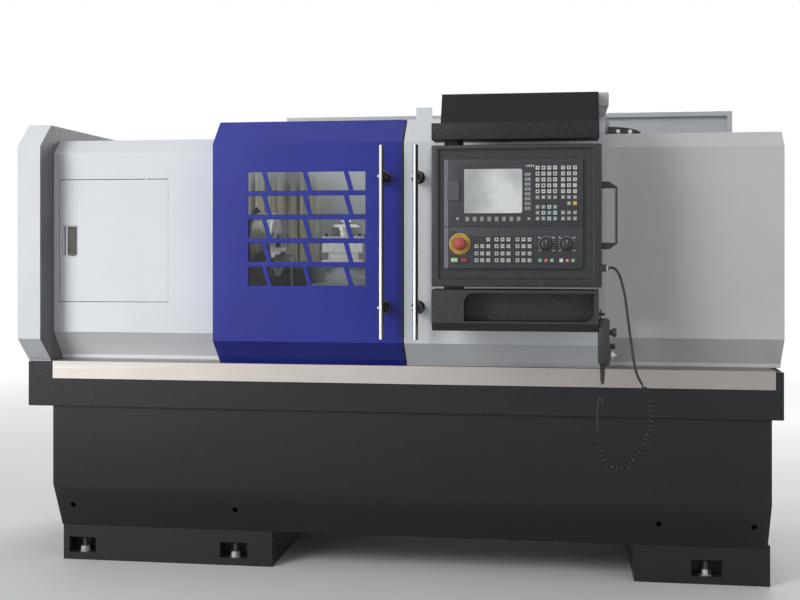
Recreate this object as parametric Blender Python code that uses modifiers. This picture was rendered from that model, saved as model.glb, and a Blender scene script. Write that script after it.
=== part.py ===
"""CNC turning lathe with a flat bed, two sliding doors and a swivelling operator panel.

Metres, +X to the right along the bed, +Y to the back, +Z up.
The origin is on the floor at the middle of the machine's length and depth.
"""

import math

import bmesh
import bpy
from mathutils import Matrix, Vector

# Fits and sheets
GAP = 0.0003
SHEET = 0.003
DOOR_SHEET = 0.0025

# Along the machine, from its left end to its right end
END_COVER_WIDTH = 0.084
PULLEY_ROOM = 0.056
PULLEY_WIDTH = 0.050
PULLEY_GAP = 0.030
HEADSTOCK_LENGTH = 0.460
FACE_ROOM = 0.035
DOOR_LAP = 0.012
LEFT_DOOR_WIDTH = 0.654
DOOR_SEAM = 0.003
RIGHT_DOOR_WIDTH = 0.658
TAILSTOCK_SPACE = 0.582
PULLEY_SPACE = END_COVER_WIDTH + PULLEY_ROOM + PULLEY_WIDTH + PULLEY_GAP
HEADSTOCK_SPACE = PULLEY_SPACE + HEADSTOCK_LENGTH + FACE_ROOM - DOOR_LAP
LENGTH = HEADSTOCK_SPACE + LEFT_DOOR_WIDTH + DOOR_SEAM + RIGHT_DOOR_WIDTH + TAILSTOCK_SPACE
LEFT_X = -LENGTH / 2
RIGHT_X = LENGTH / 2

# Across the machine, from the emergency stop to the electrical cabinet's back
STOP_STAND_OUT = 0.035
PANEL_STAND_OUT = 0.226
SPINDLE_SETBACK = 0.526
HEADSTOCK_HALF_WIDTH = 0.215
CABINET_CLEARANCE = 0.068
CABINET_DEPTH = 0.230
FRONT_DEPTH = STOP_STAND_OUT + PANEL_STAND_OUT + SPINDLE_SETBACK
DEPTH = FRONT_DEPTH + HEADSTOCK_HALF_WIDTH + CABINET_CLEARANCE + CABINET_DEPTH
BACK_Y = DEPTH / 2

# Where the main pieces begin and end
END_COVER_RIGHT = LEFT_X + END_COVER_WIDTH
PULLEY_LEFT = END_COVER_RIGHT + PULLEY_ROOM
HEADSTOCK_FACE = PULLEY_LEFT + PULLEY_WIDTH + PULLEY_GAP + HEADSTOCK_LENGTH
COVER_RIGHT = HEADSTOCK_FACE + FACE_ROOM
LEFT_DOOR = (COVER_RIGHT - DOOR_LAP, COVER_RIGHT - DOOR_LAP + LEFT_DOOR_WIDTH)
RIGHT_DOOR = (LEFT_DOOR[1] + DOOR_SEAM, LEFT_DOOR[1] + DOOR_SEAM + RIGHT_DOOR_WIDTH)
GUARD_LAP = 0.058
GUARD_LEFT = RIGHT_DOOR[1] - GUARD_LAP

# Base cabinet
BASE_LEFT = LEFT_X + 0.092
BASE_RIGHT = RIGHT_X - 0.044
BASE_BACK = BACK_Y - 0.030
BASE_HEIGHT = 0.566
BASE_WALL = 0.012
FOOT_HEIGHT = 0.125
FOOT_SETBACK = 0.079
FOOT_INSET = 0.001
BASE_CHAMFER_RISE = 0.163
LEFT_FOOT = (LEFT_X + 0.095, LEFT_X + 0.869)
RIGHT_FOOT = (RIGHT_X - 0.479, RIGHT_X - 0.035)
POCKET_LENGTH = 0.100
POCKET_HEIGHT = 0.055
POCKET_DEPTH = 0.060
POCKET_BOTTOM = 0.026
POCKET_LEFTS = (LEFT_FOOT[0] + 0.022, LEFT_FOOT[1] - 0.190, RIGHT_FOOT[0] + 0.188)
LIFTING_HOLE_RADIUS = 0.010
LIFTING_HOLES = (LEFT_X + 0.149, LEFT_X + 0.746, RIGHT_X - 0.401, RIGHT_X - 0.093)

# Chip tray and door rail
TRAY_LEFT = LEFT_X + 0.005
TRAY_RIGHT = RIGHT_X - 0.008
TRAY_BACK = BACK_Y - 0.005
TRAY_HEIGHT = 0.156
TRAY_FLOOR = 0.005
TRAY_FRONT_RIM = 0.125
TRAY_SIDE_RIM = 0.085
TRAY_RIGHT_RIM = 0.040
TRAY_BACK_RIM = 0.045
RAIL_LEFT = LEFT_X + 0.098
RAIL_RIGHT = RIGHT_X - 0.035
RAIL_HEIGHT = 0.061
RAIL_SHEET = 0.0032
RAIL_LEDGE = 0.118

# Doors and end cover share one bent profile
PANEL_FRONT = -DEPTH / 2 + STOP_STAND_OUT
DOOR_FRONT = PANEL_FRONT + PANEL_STAND_OUT
DOOR_CHAMFER_DEPTH = 0.087
DOOR_CHAMFER_RISE = 0.082
DOOR_FACE_HEIGHT = 0.671
DOOR_RETURN = 0.0065
DOOR_HOOK_REACH = 0.087
DOOR_TAB = (RIGHT_DOOR[0] + 0.030, RIGHT_DOOR[0] + 0.085)
DOOR_TAB_HEIGHT = 0.040

# Window of the left door
WINDOW_LEFT = LEFT_DOOR[0] + 0.125
WINDOW_RIGHT = LEFT_DOOR[1] - 0.127
WINDOW_DROP = 0.098
CELL_HEIGHT = 0.063
CELL_PITCH = 0.080
CELL_ROWS = 5
SLANT_BARS = 3
SLANT_FIRST = WINDOW_LEFT + 0.055
SLANT_PITCH = (WINDOW_RIGHT - WINDOW_LEFT) * 0.3495
SLANT_WIDTH = 0.016
SLANT_LEAN = 0.018
GLASS_MARGIN = 0.028
GLASS_THICKNESS = 0.005

# Door handles
HANDLE_BAR_RADIUS = 0.009
HANDLE_FOOT = 0.0182
HANDLE_HEAD = 0.017
HANDLE_STAND_OUT = 0.071
HANDLE_BOSS_RADIUS = 0.022
HANDLE_BOSS_LENGTH = 0.055
HANDLE_BOSS_INSET = 0.1029
HANDLE_XS = {"left_door_handle": LEFT_DOOR[1] - 0.0615, "right_door_handle": RIGHT_DOOR[0] + 0.0473}

# Fixed guards, set back behind the doors
GUARD_SETBACK = 0.106
GUARD_SKIRT = 0.014
GUARD_LOW_RISE = 0.086
GUARD_LOW_DEPTH = 0.066
DOOR_OVER_GUARD = 0.051
GUARD_HIGH_RISE = 0.050
GUARD_HIGH_DEPTH = 0.050
GUARD_ROOF = 0.160
RAIL_ROOF = 0.060
RAIL_LIP = 0.030
SPINDLE_OPENING_RADIUS = 0.145
BELT_OPENING_EDGE = 0.050

# Rear guard
REAR_GUARD_RIGHT = RIGHT_X - 0.031
REAR_GUARD_RISE = 0.1189
REAR_GUARD_DEPTH = 0.028
REAR_GUARD_FRAME = 0.020

# Access door of the headstock cover
ACCESS_LEFT = END_COVER_RIGHT + 0.020
ACCESS_RIGHT = ACCESS_LEFT + 0.404
ACCESS_FOOT = 0.1069
ACCESS_HEAD = 0.0921
ACCESS_CLEARANCE = 0.002
LATCH_LEFT = ACCESS_LEFT + 0.016
LATCH_WIDTH = 0.054
LATCH_HEIGHT = 0.107
LATCH_RIM = 0.003
LATCH_CUP = 0.020
PADDLE_WIDTH = 0.031
PADDLE_THICKNESS = 0.005

# Bed and spindle
BED_LEFT = PULLEY_LEFT + PULLEY_WIDTH + 0.010
BED_RIGHT = RIGHT_X - 0.180
BED_HALF_WIDTH = 0.185
BED_HEIGHT = 0.308
BED_WAIST = 0.035
BED_WINDOW = 0.300
BED_RIB = 0.060
BED_SLOT_HALF = 0.075
BED_FLOOR = 0.050
BED_WINDOW_FOOT = 0.090
BED_WINDOW_HEAD = 0.100
WAY_LEFT = HEADSTOCK_FACE + 0.008
WAY_HEIGHT = 0.015
CENTRE_HEIGHT = 0.240
HEADSTOCK_HEIGHT = 0.470
SPINDLE_RADIUS = 0.055
SPINDLE_BORE = 0.026
SPINDLE_NOSE = 0.015
SPINDLE_PULLEY_RADIUS = 0.090
RUNNING_CLEARANCE = 0.0004

# Chuck
CHUCK_RADIUS = 0.125
CHUCK_LENGTH = 0.105
CHUCK_BORE = 0.036
JAW_COUNT = 3
JAW_WIDTH = 0.028
JAW_INNER = 0.042
JAW_OUTER = 0.116
JAW_SLOT_DEPTH = 0.012
JAW_STEP = 0.022
JAW_STEP_RISE = 0.016

# Spindle motor and belt
MOTOR_SETBACK = 0.333
MOTOR_RADIUS = 0.095
MOTOR_LENGTH = 0.330
MOTOR_AXIS_HEIGHT = 0.125
MOTOR_PULLEY_RADIUS = 0.060
BELT_THICKNESS = 0.008
BELT_WIDTH = 0.040

# Electrical cabinet
CABINET_LEFT = END_COVER_RIGHT + 0.136
CABINET_RIGHT = COVER_RIGHT - 0.055
CABINET_FRONT = BACK_Y - CABINET_DEPTH
CABINET_FOOT = 0.1339
CABINET_HEAD = 0.0301

# Carriage
SADDLE_LEFT = HEADSTOCK_FACE + 0.220
SADDLE_LENGTH = 0.380
SADDLE_THICKNESS = 0.055
APRON_DROP = 0.170
APRON_THICKNESS = 0.060
SCREW_RADIUS = 0.014
SCREW_DROP = 0.090
SCREW_STAND_OFF = 0.036
SCREW_RIGHT = BED_RIGHT + 0.008
SERVO_HALF = 0.065
SERVO_LENGTH = 0.150
CROSS_LEFT = SADDLE_LEFT + 0.090
CROSS_WIDTH = 0.200
CROSS_SETBACK = 0.297
CROSS_LENGTH = 0.380
CROSS_HEIGHT = 0.045
TURRET_SETBACK = -0.125
TURRET_BASE_RADIUS = 0.080
TURRET_BASE_HEIGHT = 0.055
TURRET_HALF = 0.078
TURRET_HEIGHT = 0.115
TURRET_SLOT_HEIGHT = 0.026
TURRET_SLOT_DEPTH = 0.022

# Tailstock
TAILSTOCK_LEFT = RIGHT_X - 0.540
TAILSTOCK_LENGTH = 0.260
TAILSTOCK_HALF_WIDTH = 0.120
BARREL_RADIUS = 0.068
BARREL_END = 0.018
QUILL_RADIUS = 0.0375
QUILL_STAND_OUT = 0.060
CENTRE_LENGTH = 0.085
TAIL_WHEEL_RADIUS = 0.085

# Operator panel
PANEL_DEPTH = 0.110
BEZEL_SIDES = (0.0202, 0.0237)
BEZEL_ENDS = (0.0234, 0.0111)
UNIT_SIDES = (0.0194, 0.0331)
UNIT_ENDS = (0.0328, 0.0337)
HUB_RADIUS = 0.030
HUB_PIN_RADIUS = 0.012
HUB_PIN_LENGTH = 0.025
HUB_GAP = 0.017
BEZEL_DEPTH = 0.006
HOOD_HEIGHT = 0.052
HOOD_TOP_HEIGHT = 0.096
HOOD_SLOPE = 0.055
HOOD_EDGE = 0.004
STORE_HEIGHT = 0.129
STORE_GAP = 0.0095
STORE_CHAMFER = 0.026
STORE_DEPTH = 0.085
POCKET_CORNER = 0.030

# Display and control panel
UNIT_THICKNESS = 0.010
SCREEN_RECESS = 0.003
KEY_SIZE = 0.0125
KEY_HEIGHT = 0.0016
SCREEN_SIDE = 0.0616
SCREEN_WIDTH = 0.1805
SCREEN_ENDS = (0.0414, 0.0298)
LETTER_GAP = 0.0464
NUMBER_EDGE = 0.0242
TOP_ROW_DROP = 0.0285
ARROW_FOOT = 0.0247
CONTROL_HEIGHT = 0.1297
KEY_PITCH = 0.0181
LETTER_PITCH = 0.0178
KEY_MARGIN = 0.010
LETTER_COUNT = 4
NUMBER_COUNT = 3
UPPER_ROWS = 6
ARROW_ROWS = 3
BLOCK_GAP = 0.0060
ARROW_GAP = 0.0295
NUMBER_GAP = LETTER_COUNT * LETTER_PITCH + BLOCK_GAP
ARROW_DROP = (UPPER_ROWS - 1) * KEY_PITCH + ARROW_GAP
SOFT_KEYS = 8
SOFT_KEY_SIZE = (0.014, 0.012)
SIDE_KEY_SIZE = (0.016, 0.010)
SIDE_KEY_PITCH = 0.0149
SOFT_KEY_RISE = 0.0012
PANEL_ROW_DROPS = (0.0, 0.0208, 0.0430, 0.0640)
PANEL_COLUMN_PITCH = 0.0183
KEYPAD_SHEET = 0.001
STOP_COLLAR_RADIUS = 0.033
STOP_BUTTON_RADIUS = 0.020
STOP_STEM_RADIUS = 0.011
STOP_TRAVEL = 0.005
PUSH_BUTTON_SIZE = (0.022, 0.014)
PUSH_BUTTON_HEIGHT = 0.006
KNOB_RADIUS = 0.0185
KNOB_HEIGHT = 0.020

# Arm from the right guard to the hood
ARM_WIDTH = 0.080
ARM_OVERHANG = 0.015
ARM_TO_PANEL = 0.026
ARM_RISE = 0.0619
ARM_THICKNESS = 0.043
ARM_OVER_PANEL = 0.170
ARM_SETBACK = 0.093
ARM_POST_DEPTH = 0.080
ARM_PLATE_DEPTH = 0.125
ARM_PLATE_THICKNESS = 0.006
ARM_FIN_RISE = 0.021
ARM_GUSSET_REACH = 0.029

# Side grip, gland and hand unit
GRIP_REACH = 0.049
GRIP_THICKNESS = 0.0059
GRIP_HALF_DEPTH = 0.011
GRIP_ARM = 0.0206
GRIP_FOOT = 0.0229
GRIP_SHOULDER = 0.017
GLAND_RADIUS = 0.011
GLAND_LENGTH = 0.0235
UNIT_HALF_DEPTH = 0.042
HOOK_RISE = 0.029
HOOK_HOLE_RADIUS = 0.0050
HOOK_THICKNESS = 0.004
PEG_RADIUS = 0.0046
PEG_LENGTH = 0.020
RELIEF_LENGTH = 0.062
RELIEF_RADIUS = 0.009
RELIEF_GROOVE = 0.0025
WHEEL_RADIUS = 0.0155
WHEEL_THICKNESS = 0.014
SELECTOR_RADIUS = 0.0075

# Cable of the hand unit: one smooth route from the operator panel's lower right corner, in three pieces
LEAD_RADIUS = 0.004
CURL_RADIUS = 0.010
THIN_RADIUS = 0.003
LEAD_SHARE = 0.395
CURL_SHARE = 0.855
CABLE_ROUTE = (
    (0.0550, 0.0385),
    (0.0710, -0.0205),
    (0.0810, -0.0935),
    (0.0920, -0.1765),
    (0.1070, -0.2635),
    (0.1410, -0.3355),
    (0.1510, -0.4155),
    (0.1210, -0.5005),
    (0.0690, -0.5575),
    (0.0210, -0.5455),
    (-0.0060, -0.4855),
    (-0.0120, -0.4055),
    (-0.0060, -0.3455),
)

# Heights and depths that follow from the sizes above
TRAY_BOTTOM = BASE_HEIGHT + GAP
TRAY_TOP = TRAY_BOTTOM + TRAY_HEIGHT
TRAY_INSIDE = TRAY_BOTTOM + TRAY_FLOOR
RAIL_TOP = TRAY_TOP + GAP + RAIL_SHEET
SKIRT_BOTTOM = RAIL_TOP + GAP
DOOR_FACE_BOTTOM = SKIRT_BOTTOM + DOOR_CHAMFER_RISE
DOOR_FACE_TOP = DOOR_FACE_BOTTOM + DOOR_FACE_HEIGHT
DOOR_TOP = DOOR_FACE_TOP + DOOR_CHAMFER_RISE
WINDOW_TOP = DOOR_FACE_TOP - WINDOW_DROP
HANDLE_BOTTOM = DOOR_FACE_BOTTOM + HANDLE_FOOT
HANDLE_LENGTH = DOOR_FACE_HEIGHT - HANDLE_FOOT - HANDLE_HEAD
HANDLE_BOSSES = (HANDLE_BOTTOM + HANDLE_BOSS_INSET, HANDLE_BOTTOM + HANDLE_LENGTH - HANDLE_BOSS_INSET)
GUARD_FRONT = DOOR_FRONT + GUARD_SETBACK
GUARD_TOP = DOOR_TOP - DOOR_OVER_GUARD
GUARD_FACE_BOTTOM = SKIRT_BOTTOM + GUARD_SKIRT + GUARD_LOW_RISE
GUARD_FACE_TOP = GUARD_TOP - GUARD_HIGH_RISE
REAR_GUARD_TOP = DOOR_TOP + REAR_GUARD_RISE
ACCESS_BOTTOM = GUARD_FACE_BOTTOM + ACCESS_FOOT
ACCESS_TOP = GUARD_FACE_TOP - ACCESS_HEAD
LATCH_BOTTOM = (ACCESS_BOTTOM + ACCESS_TOP - LATCH_HEIGHT) / 2
CABINET_BOTTOM = SKIRT_BOTTOM + CABINET_FOOT
CABINET_TOP = GUARD_TOP - CABINET_HEAD
BASE_FRONT = GUARD_FRONT - 0.022
TRAY_FRONT = BASE_FRONT - 0.013
RAIL_FRONT = TRAY_FRONT - GAP - RAIL_SHEET
SPINDLE_Y = DOOR_FRONT + SPINDLE_SETBACK
MOTOR_Y = SPINDLE_Y + MOTOR_SETBACK
BED_BOTTOM = TRAY_INSIDE + GAP
BED_TOP = BED_BOTTOM + BED_HEIGHT
SPINDLE_Z = BED_TOP + WAY_HEIGHT + CENTRE_HEIGHT
ARM_BOTTOM = GUARD_TOP + ARM_RISE
ARM_TOP = ARM_BOTTOM + ARM_THICKNESS
PANEL_BACK = PANEL_FRONT + PANEL_DEPTH
PANEL_MID = (PANEL_FRONT + PANEL_BACK) / 2
DISPLAY_HEIGHT = TOP_ROW_DROP + ARROW_DROP + (ARROW_ROWS - 1) * LETTER_PITCH + ARROW_FOOT
PANEL_TOP = ARM_TOP - ARM_OVER_PANEL
PANEL_BOTTOM = PANEL_TOP - sum(BEZEL_ENDS) - sum(UNIT_ENDS) - CONTROL_HEIGHT - DISPLAY_HEIGHT
HOOD_BOTTOM = PANEL_TOP + HUB_GAP
HOOD_SHOULDER = HOOD_BOTTOM + HOOD_HEIGHT
STORE_TOP = PANEL_BOTTOM - STORE_GAP
STORE_BOTTOM = STORE_TOP - STORE_HEIGHT
BEZEL_FLOOR = PANEL_FRONT + BEZEL_DEPTH
UNIT_FRONT = BEZEL_FLOOR - GAP - UNIT_THICKNESS
KEYPAD_FRONT = UNIT_FRONT - GAP - KEYPAD_SHEET
UNIT_Y = PANEL_MID
CROSS_FRONT = SPINDLE_Y - CROSS_SETBACK
ARM_POST_FRONT = GUARD_FRONT + ARM_SETBACK

# Places on the arm and the operator panel
ARM_LEFT = GUARD_LEFT - ARM_OVERHANG
ARM_RIGHT = ARM_LEFT + ARM_WIDTH
ARM_PLATE = (ARM_LEFT - 0.045, ARM_RIGHT + 0.121)
NUMBER_SPACE = NUMBER_GAP + (NUMBER_COUNT - 1) * KEY_PITCH + NUMBER_EDGE
UNIT_WIDTH = SCREEN_SIDE + SCREEN_WIDTH + LETTER_GAP + NUMBER_SPACE
PANEL_RIGHT = ARM_RIGHT - ARM_TO_PANEL
PANEL_LEFT = PANEL_RIGHT - sum(BEZEL_SIDES) - sum(UNIT_SIDES) - UNIT_WIDTH
PANEL_HUB_X = PANEL_LEFT + 0.0655
BEZEL_LEFT = PANEL_LEFT + BEZEL_SIDES[0]
BEZEL_RIGHT = PANEL_RIGHT - BEZEL_SIDES[1]
BEZEL_BOTTOM = PANEL_BOTTOM + BEZEL_ENDS[0]
BEZEL_TOP = PANEL_TOP - BEZEL_ENDS[1]
HOOD_RIGHT = PANEL_RIGHT - 0.007
HOOD_TOP_LEFT = PANEL_LEFT + 0.028
STORE_RIGHT = PANEL_RIGHT - 0.009
POCKET = (PANEL_LEFT + 0.1012, STORE_BOTTOM + 0.0317, STORE_RIGHT - 0.0147, STORE_TOP - 0.0097)
UNIT_LEFT = BEZEL_LEFT + UNIT_SIDES[0]
UNIT_RIGHT = BEZEL_RIGHT - UNIT_SIDES[1]
CONTROL_BOTTOM = BEZEL_BOTTOM + UNIT_ENDS[0]
DISPLAY_BOTTOM = CONTROL_BOTTOM + CONTROL_HEIGHT
DISPLAY_TOP = BEZEL_TOP - UNIT_ENDS[1]
SCREEN_LEFT = UNIT_LEFT + SCREEN_SIDE
SCREEN_RIGHT = SCREEN_LEFT + SCREEN_WIDTH
SCREEN = (SCREEN_LEFT, DISPLAY_BOTTOM + SCREEN_ENDS[0], SCREEN_RIGHT, DISPLAY_TOP - SCREEN_ENDS[1])
LETTER_X = SCREEN_RIGHT + LETTER_GAP
NUMBER_X = LETTER_X + NUMBER_GAP
TOP_ROW = DISPLAY_TOP - TOP_ROW_DROP
ARROW_ROW = TOP_ROW - ARROW_DROP
PANEL_TOP_ROW = CONTROL_BOTTOM + 0.0903
LEFT_KEYS = UNIT_LEFT + 0.1012
MIDDLE_KEYS = UNIT_LEFT + 0.1632
RIGHT_KEYS = UNIT_LEFT + 0.2274
COLOUR_KEYS = (UNIT_LEFT + 0.2961, UNIT_LEFT + 0.3604)
STOP_CENTRE = (UNIT_LEFT + 0.0498, CONTROL_BOTTOM + 0.0770)
PUSH_BUTTONS = {"start_button": UNIT_LEFT + 0.0333, "stop_button": UNIT_LEFT + 0.0639}
PUSH_BUTTON_Z = CONTROL_BOTTOM + 0.0268
KNOBS = {"feed_knob": UNIT_LEFT + 0.3150, "spindle_knob": UNIT_LEFT + 0.3772}
KNOB_Z = CONTROL_BOTTOM + 0.0758
GRIP_HEIGHTS = (PANEL_BOTTOM + 0.1161, PANEL_TOP - 0.114)
GLAND_Z = PANEL_BOTTOM + 0.0585
UNIT_BODY = (STORE_RIGHT + 0.0005, STORE_BOTTOM - 0.1005, STORE_RIGHT + 0.0335, STORE_BOTTOM + 0.0395)
WHEEL_Z = UNIT_BODY[1] + 0.0289
SELECTOR_HEIGHTS = (UNIT_BODY[1] + 0.0995, UNIT_BODY[1] + 0.0535)

# Colours, as linear red, green and blue
WHITE = (0.760, 0.790, 0.820)
BLUE = (0.042, 0.048, 0.300)
BLACK = (0.028, 0.029, 0.031)
PANEL_GREY = (0.032, 0.034, 0.038)
UNIT_GREY = (0.046, 0.052, 0.062)
STEEL = (0.560, 0.540, 0.520)
CAST_GREY = (0.300, 0.320, 0.330)
LIGHT_GREY = (0.580, 0.600, 0.620)

# Axes for outlines and turned shapes: the third column is the way they run
FRAMES = {
    "X": Matrix(((0, 0, 1), (1, 0, 0), (0, 1, 0))),
    "Y": Matrix(((1, 0, 0), (0, 0, -1), (0, 1, 0))),
    "Z": Matrix.Identity(3),
}
CORD_SIDES = 2
CORD_END = 0.002
ROUND_STEPS = 32
SMALL_STEPS = 20
OVERCUT = 0.02


def clear_scene():
    for obj in list(bpy.data.objects):
        bpy.data.objects.remove(obj, do_unlink=True)


def make_collections():
    machine = bpy.data.collections.new("cnc_turning_lathe")
    cutters = bpy.data.collections.new("cutters")
    for collection in (machine, cutters):
        bpy.context.scene.collection.children.link(collection)
    return machine, cutters


def paint(obj, colour, roughness=0.5, metallic=0.0, alpha=1.0):
    """Give the object a material of its own."""
    surface = bpy.data.materials.new(obj.name + "_surface")
    surface.use_nodes = True
    shader = surface.node_tree.nodes["Principled BSDF"]
    shader.inputs["Base Color"].default_value = (*colour, 1.0)
    shader.inputs["Roughness"].default_value = roughness
    shader.inputs["Metallic"].default_value = metallic
    shader.inputs["Alpha"].default_value = alpha
    obj.data.materials.clear()
    obj.data.materials.append(surface)
    return obj


def add_object(name, data, matrix=None):
    obj = bpy.data.objects.new(name, data)
    MACHINE.objects.link(obj)
    if matrix is not None:
        obj.matrix_world = matrix
    return obj


def box(name, low, high, bevel=0.0, origin=None):
    """A box between two corners, with its origin at its middle or at the given point."""
    low = Vector(low)
    high = Vector(high)
    origin = Vector(origin) if origin else (low + high) / 2
    work = bmesh.new()
    place = Matrix.Translation((low + high) / 2 - origin) @ Matrix.Diagonal((*(high - low), 1))
    bmesh.ops.create_cube(work, size=1, matrix=place)
    mesh = bpy.data.meshes.new(name)
    work.to_mesh(mesh)
    work.free()
    obj = add_object(name, mesh, Matrix.Translation(origin))
    if bevel:
        round_edges(obj, bevel)
    return obj


def round_edges(obj, width, segments=2):
    edges = obj.modifiers.new("rounded edges", "BEVEL")
    edges.width = width
    edges.segments = segments
    edges.limit_method = "ANGLE"
    edges.angle_limit = math.radians(40)


def rod(name, start, length, radius, axis, steps=ROUND_STEPS):
    """A cylinder from a start point along an axis of FRAMES."""
    work = bmesh.new()
    place = Matrix.Translation((0, 0, length / 2))
    bmesh.ops.create_cone(
        work, cap_ends=True, segments=steps, radius1=radius, radius2=radius, depth=length, matrix=place
    )
    mesh = bpy.data.meshes.new(name)
    work.to_mesh(mesh)
    work.free()
    mesh.shade_smooth()
    mesh.set_sharp_from_angle(angle=math.radians(40))
    return add_object(name, mesh, Matrix.Translation(start) @ FRAMES[axis].to_4x4())


def turned(name, origin, profile, axis, steps=ROUND_STEPS, closed=False):
    """A turned shape: (radius, height) points, down the outer side, about an axis through origin."""
    mesh = bpy.data.meshes.new(name)
    count = len(profile)
    edges = [(i, i + 1) for i in range(count - 1)]
    if closed:
        edges.append((count - 1, 0))
    mesh.from_pydata([(radius, 0, height) for radius, height in profile], edges, [])
    obj = add_object(name, mesh, Matrix.Translation(origin) @ FRAMES[axis].to_4x4())
    screw = obj.modifiers.new("turned", "SCREW")
    screw.axis = "Z"
    screw.steps = steps
    screw.render_steps = steps
    screw.use_merge_vertices = True
    screw.merge_threshold = 0.00001
    screw.use_smooth_shade = True
    return obj


def plates(name, outlines, axis, start, end):
    """Flat outlines extruded along an axis between two positions on it."""
    curve = bpy.data.curves.new(name, "CURVE")
    curve.dimensions = "2D"
    curve.fill_mode = "BOTH"
    curve.extrude = abs(end - start) / 2
    for outline in outlines:
        spline = curve.splines.new("POLY")
        spline.points.add(len(outline) - 1)
        for point, (across, up) in zip(spline.points, outline):
            point.co = (across, up, 0, 1)
        spline.use_cyclic_u = True
    middle = Vector([(start + end) / 2 if letter == axis else 0 for letter in "XYZ"])
    obj = add_object(name, curve, Matrix.Translation(middle) @ FRAMES[axis].to_4x4())
    return as_mesh(obj)


def plate(name, outline, axis, start, end):
    return plates(name, [outline], axis, start, end)


def as_mesh(curve_object):
    """The curve's own surface as a welded mesh, in its place."""
    name = curve_object.name
    matrix = curve_object.matrix_world.copy()
    bpy.context.view_layer.update()
    evaluated = curve_object.evaluated_get(bpy.context.evaluated_depsgraph_get())
    mesh = bpy.data.meshes.new_from_object(evaluated)
    bpy.data.objects.remove(curve_object, do_unlink=True)
    work = bmesh.new()
    work.from_mesh(mesh)
    bmesh.ops.remove_doubles(work, verts=work.verts, dist=0.000001)
    bmesh.ops.recalc_face_normals(work, faces=work.faces)
    work.to_mesh(mesh)
    work.free()
    return add_object(name, mesh, matrix)


def tube(name, points, radius):
    """A round bar or cable along points."""
    curve = bpy.data.curves.new(name, "CURVE")
    curve.dimensions = "3D"
    curve.bevel_depth = radius
    curve.bevel_resolution = CORD_SIDES
    curve.use_fill_caps = True
    spline = curve.splines.new("POLY")
    spline.points.add(len(points) - 1)
    for point, place in zip(spline.points, points):
        point.co = (*place, 1)
    return add_object(name, curve)


def combine(obj, tool, operation):
    """Join the tool to the object, or cut it away, and put it with the cutters."""
    MACHINE.objects.unlink(tool)
    CUTTERS.objects.link(tool)
    tool.hide_render = True
    tool.display_type = "WIRE"
    step = obj.modifiers.new(tool.name, "BOOLEAN")
    step.operation = operation
    step.object = tool
    step.solver = "EXACT"
    return obj


def join(obj, *tools):
    for tool in tools:
        combine(obj, tool, "UNION")
    return obj


def cut(obj, *tools):
    for tool in tools:
        combine(obj, tool, "DIFFERENCE")
    return obj


def arc(centre, radius, start, end, steps):
    """Points of a circular arc, with angles in degrees."""
    points = []
    for i in range(steps + 1):
        angle = math.radians(start + (end - start) * i / steps)
        points.append((centre[0] + radius * math.cos(angle), centre[1] + radius * math.sin(angle)))
    return points


def offset_line(a, b, distance):
    """The line through a and b moved to its left by a distance, as a point and a direction."""
    direction = (Vector(b) - Vector(a)).normalized()
    normal = Vector((-direction.y, direction.x))
    return Vector(a) + normal * distance, direction


def crossing(first, second):
    """Where two lines, each a point and a direction, cross."""
    (p, d), (q, e) = first, second
    denominator = d.x * e.y - d.y * e.x
    along = ((q.x - p.x) * e.y - (q.y - p.y) * e.x) / denominator
    return p + d * along


def inset(outline, distance):
    """A counter-clockwise outline moved inwards all round."""
    count = len(outline)
    lines = [offset_line(outline[i], outline[(i + 1) % count], distance) for i in range(count)]
    return [tuple(crossing(lines[i - 1], lines[i])) for i in range(count)]


def sheet_outline(path, thickness):
    """A bent sheet seen on its edge: a path thickened to its left."""
    lines = [offset_line(path[i], path[i + 1], thickness) for i in range(len(path) - 1)]
    inner = [tuple(lines[0][0])]
    inner += [tuple(crossing(lines[i], lines[i + 1])) for i in range(len(lines) - 1)]
    inner.append(tuple(offset_line(path[-1], path[-2], -thickness)[0]))
    return list(path) + inner[::-1]


def door_profile(back, bottom=SKIRT_BOTTOM):
    """Section of the doors and the end cover, seen from the left end, anticlockwise in (y, z)."""
    foot = DOOR_FRONT + DOOR_CHAMFER_DEPTH
    outline = [
        (back, bottom),
        (back, DOOR_TOP),
        (foot, DOOR_TOP),
        (DOOR_FRONT, DOOR_FACE_TOP),
        (DOOR_FRONT, DOOR_FACE_BOTTOM),
        (foot, SKIRT_BOTTOM),
    ]
    if bottom < SKIRT_BOTTOM:
        outline.append((foot, bottom))
    return outline


def guard_profile(back, bottom=SKIRT_BOTTOM):
    """Section of the fixed guards, anticlockwise in (y, z)."""
    skirt = SKIRT_BOTTOM + GUARD_SKIRT
    foot = GUARD_FRONT + GUARD_LOW_DEPTH
    brow = GUARD_FRONT + GUARD_HIGH_DEPTH
    return [
        (back, bottom),
        (back, GUARD_TOP),
        (brow, GUARD_TOP),
        (GUARD_FRONT, GUARD_FACE_TOP),
        (GUARD_FRONT, GUARD_FACE_BOTTOM),
        (foot, skirt),
        (foot, bottom),
    ]


def pan(name, profile, hollow, ends, walls, sheet):
    """A bent-sheet housing: a profile between two ends, hollowed, with a wall kept at each named end."""
    outer = plate(name, profile, "X", *ends)
    left = ends[0] + sheet if "left" in walls else ends[0] - OVERCUT
    right = ends[1] - sheet if "right" in walls else ends[1] + OVERCUT
    return cut(outer, plate(name + "_hollow", inset(hollow, sheet), "X", left, right))


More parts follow.
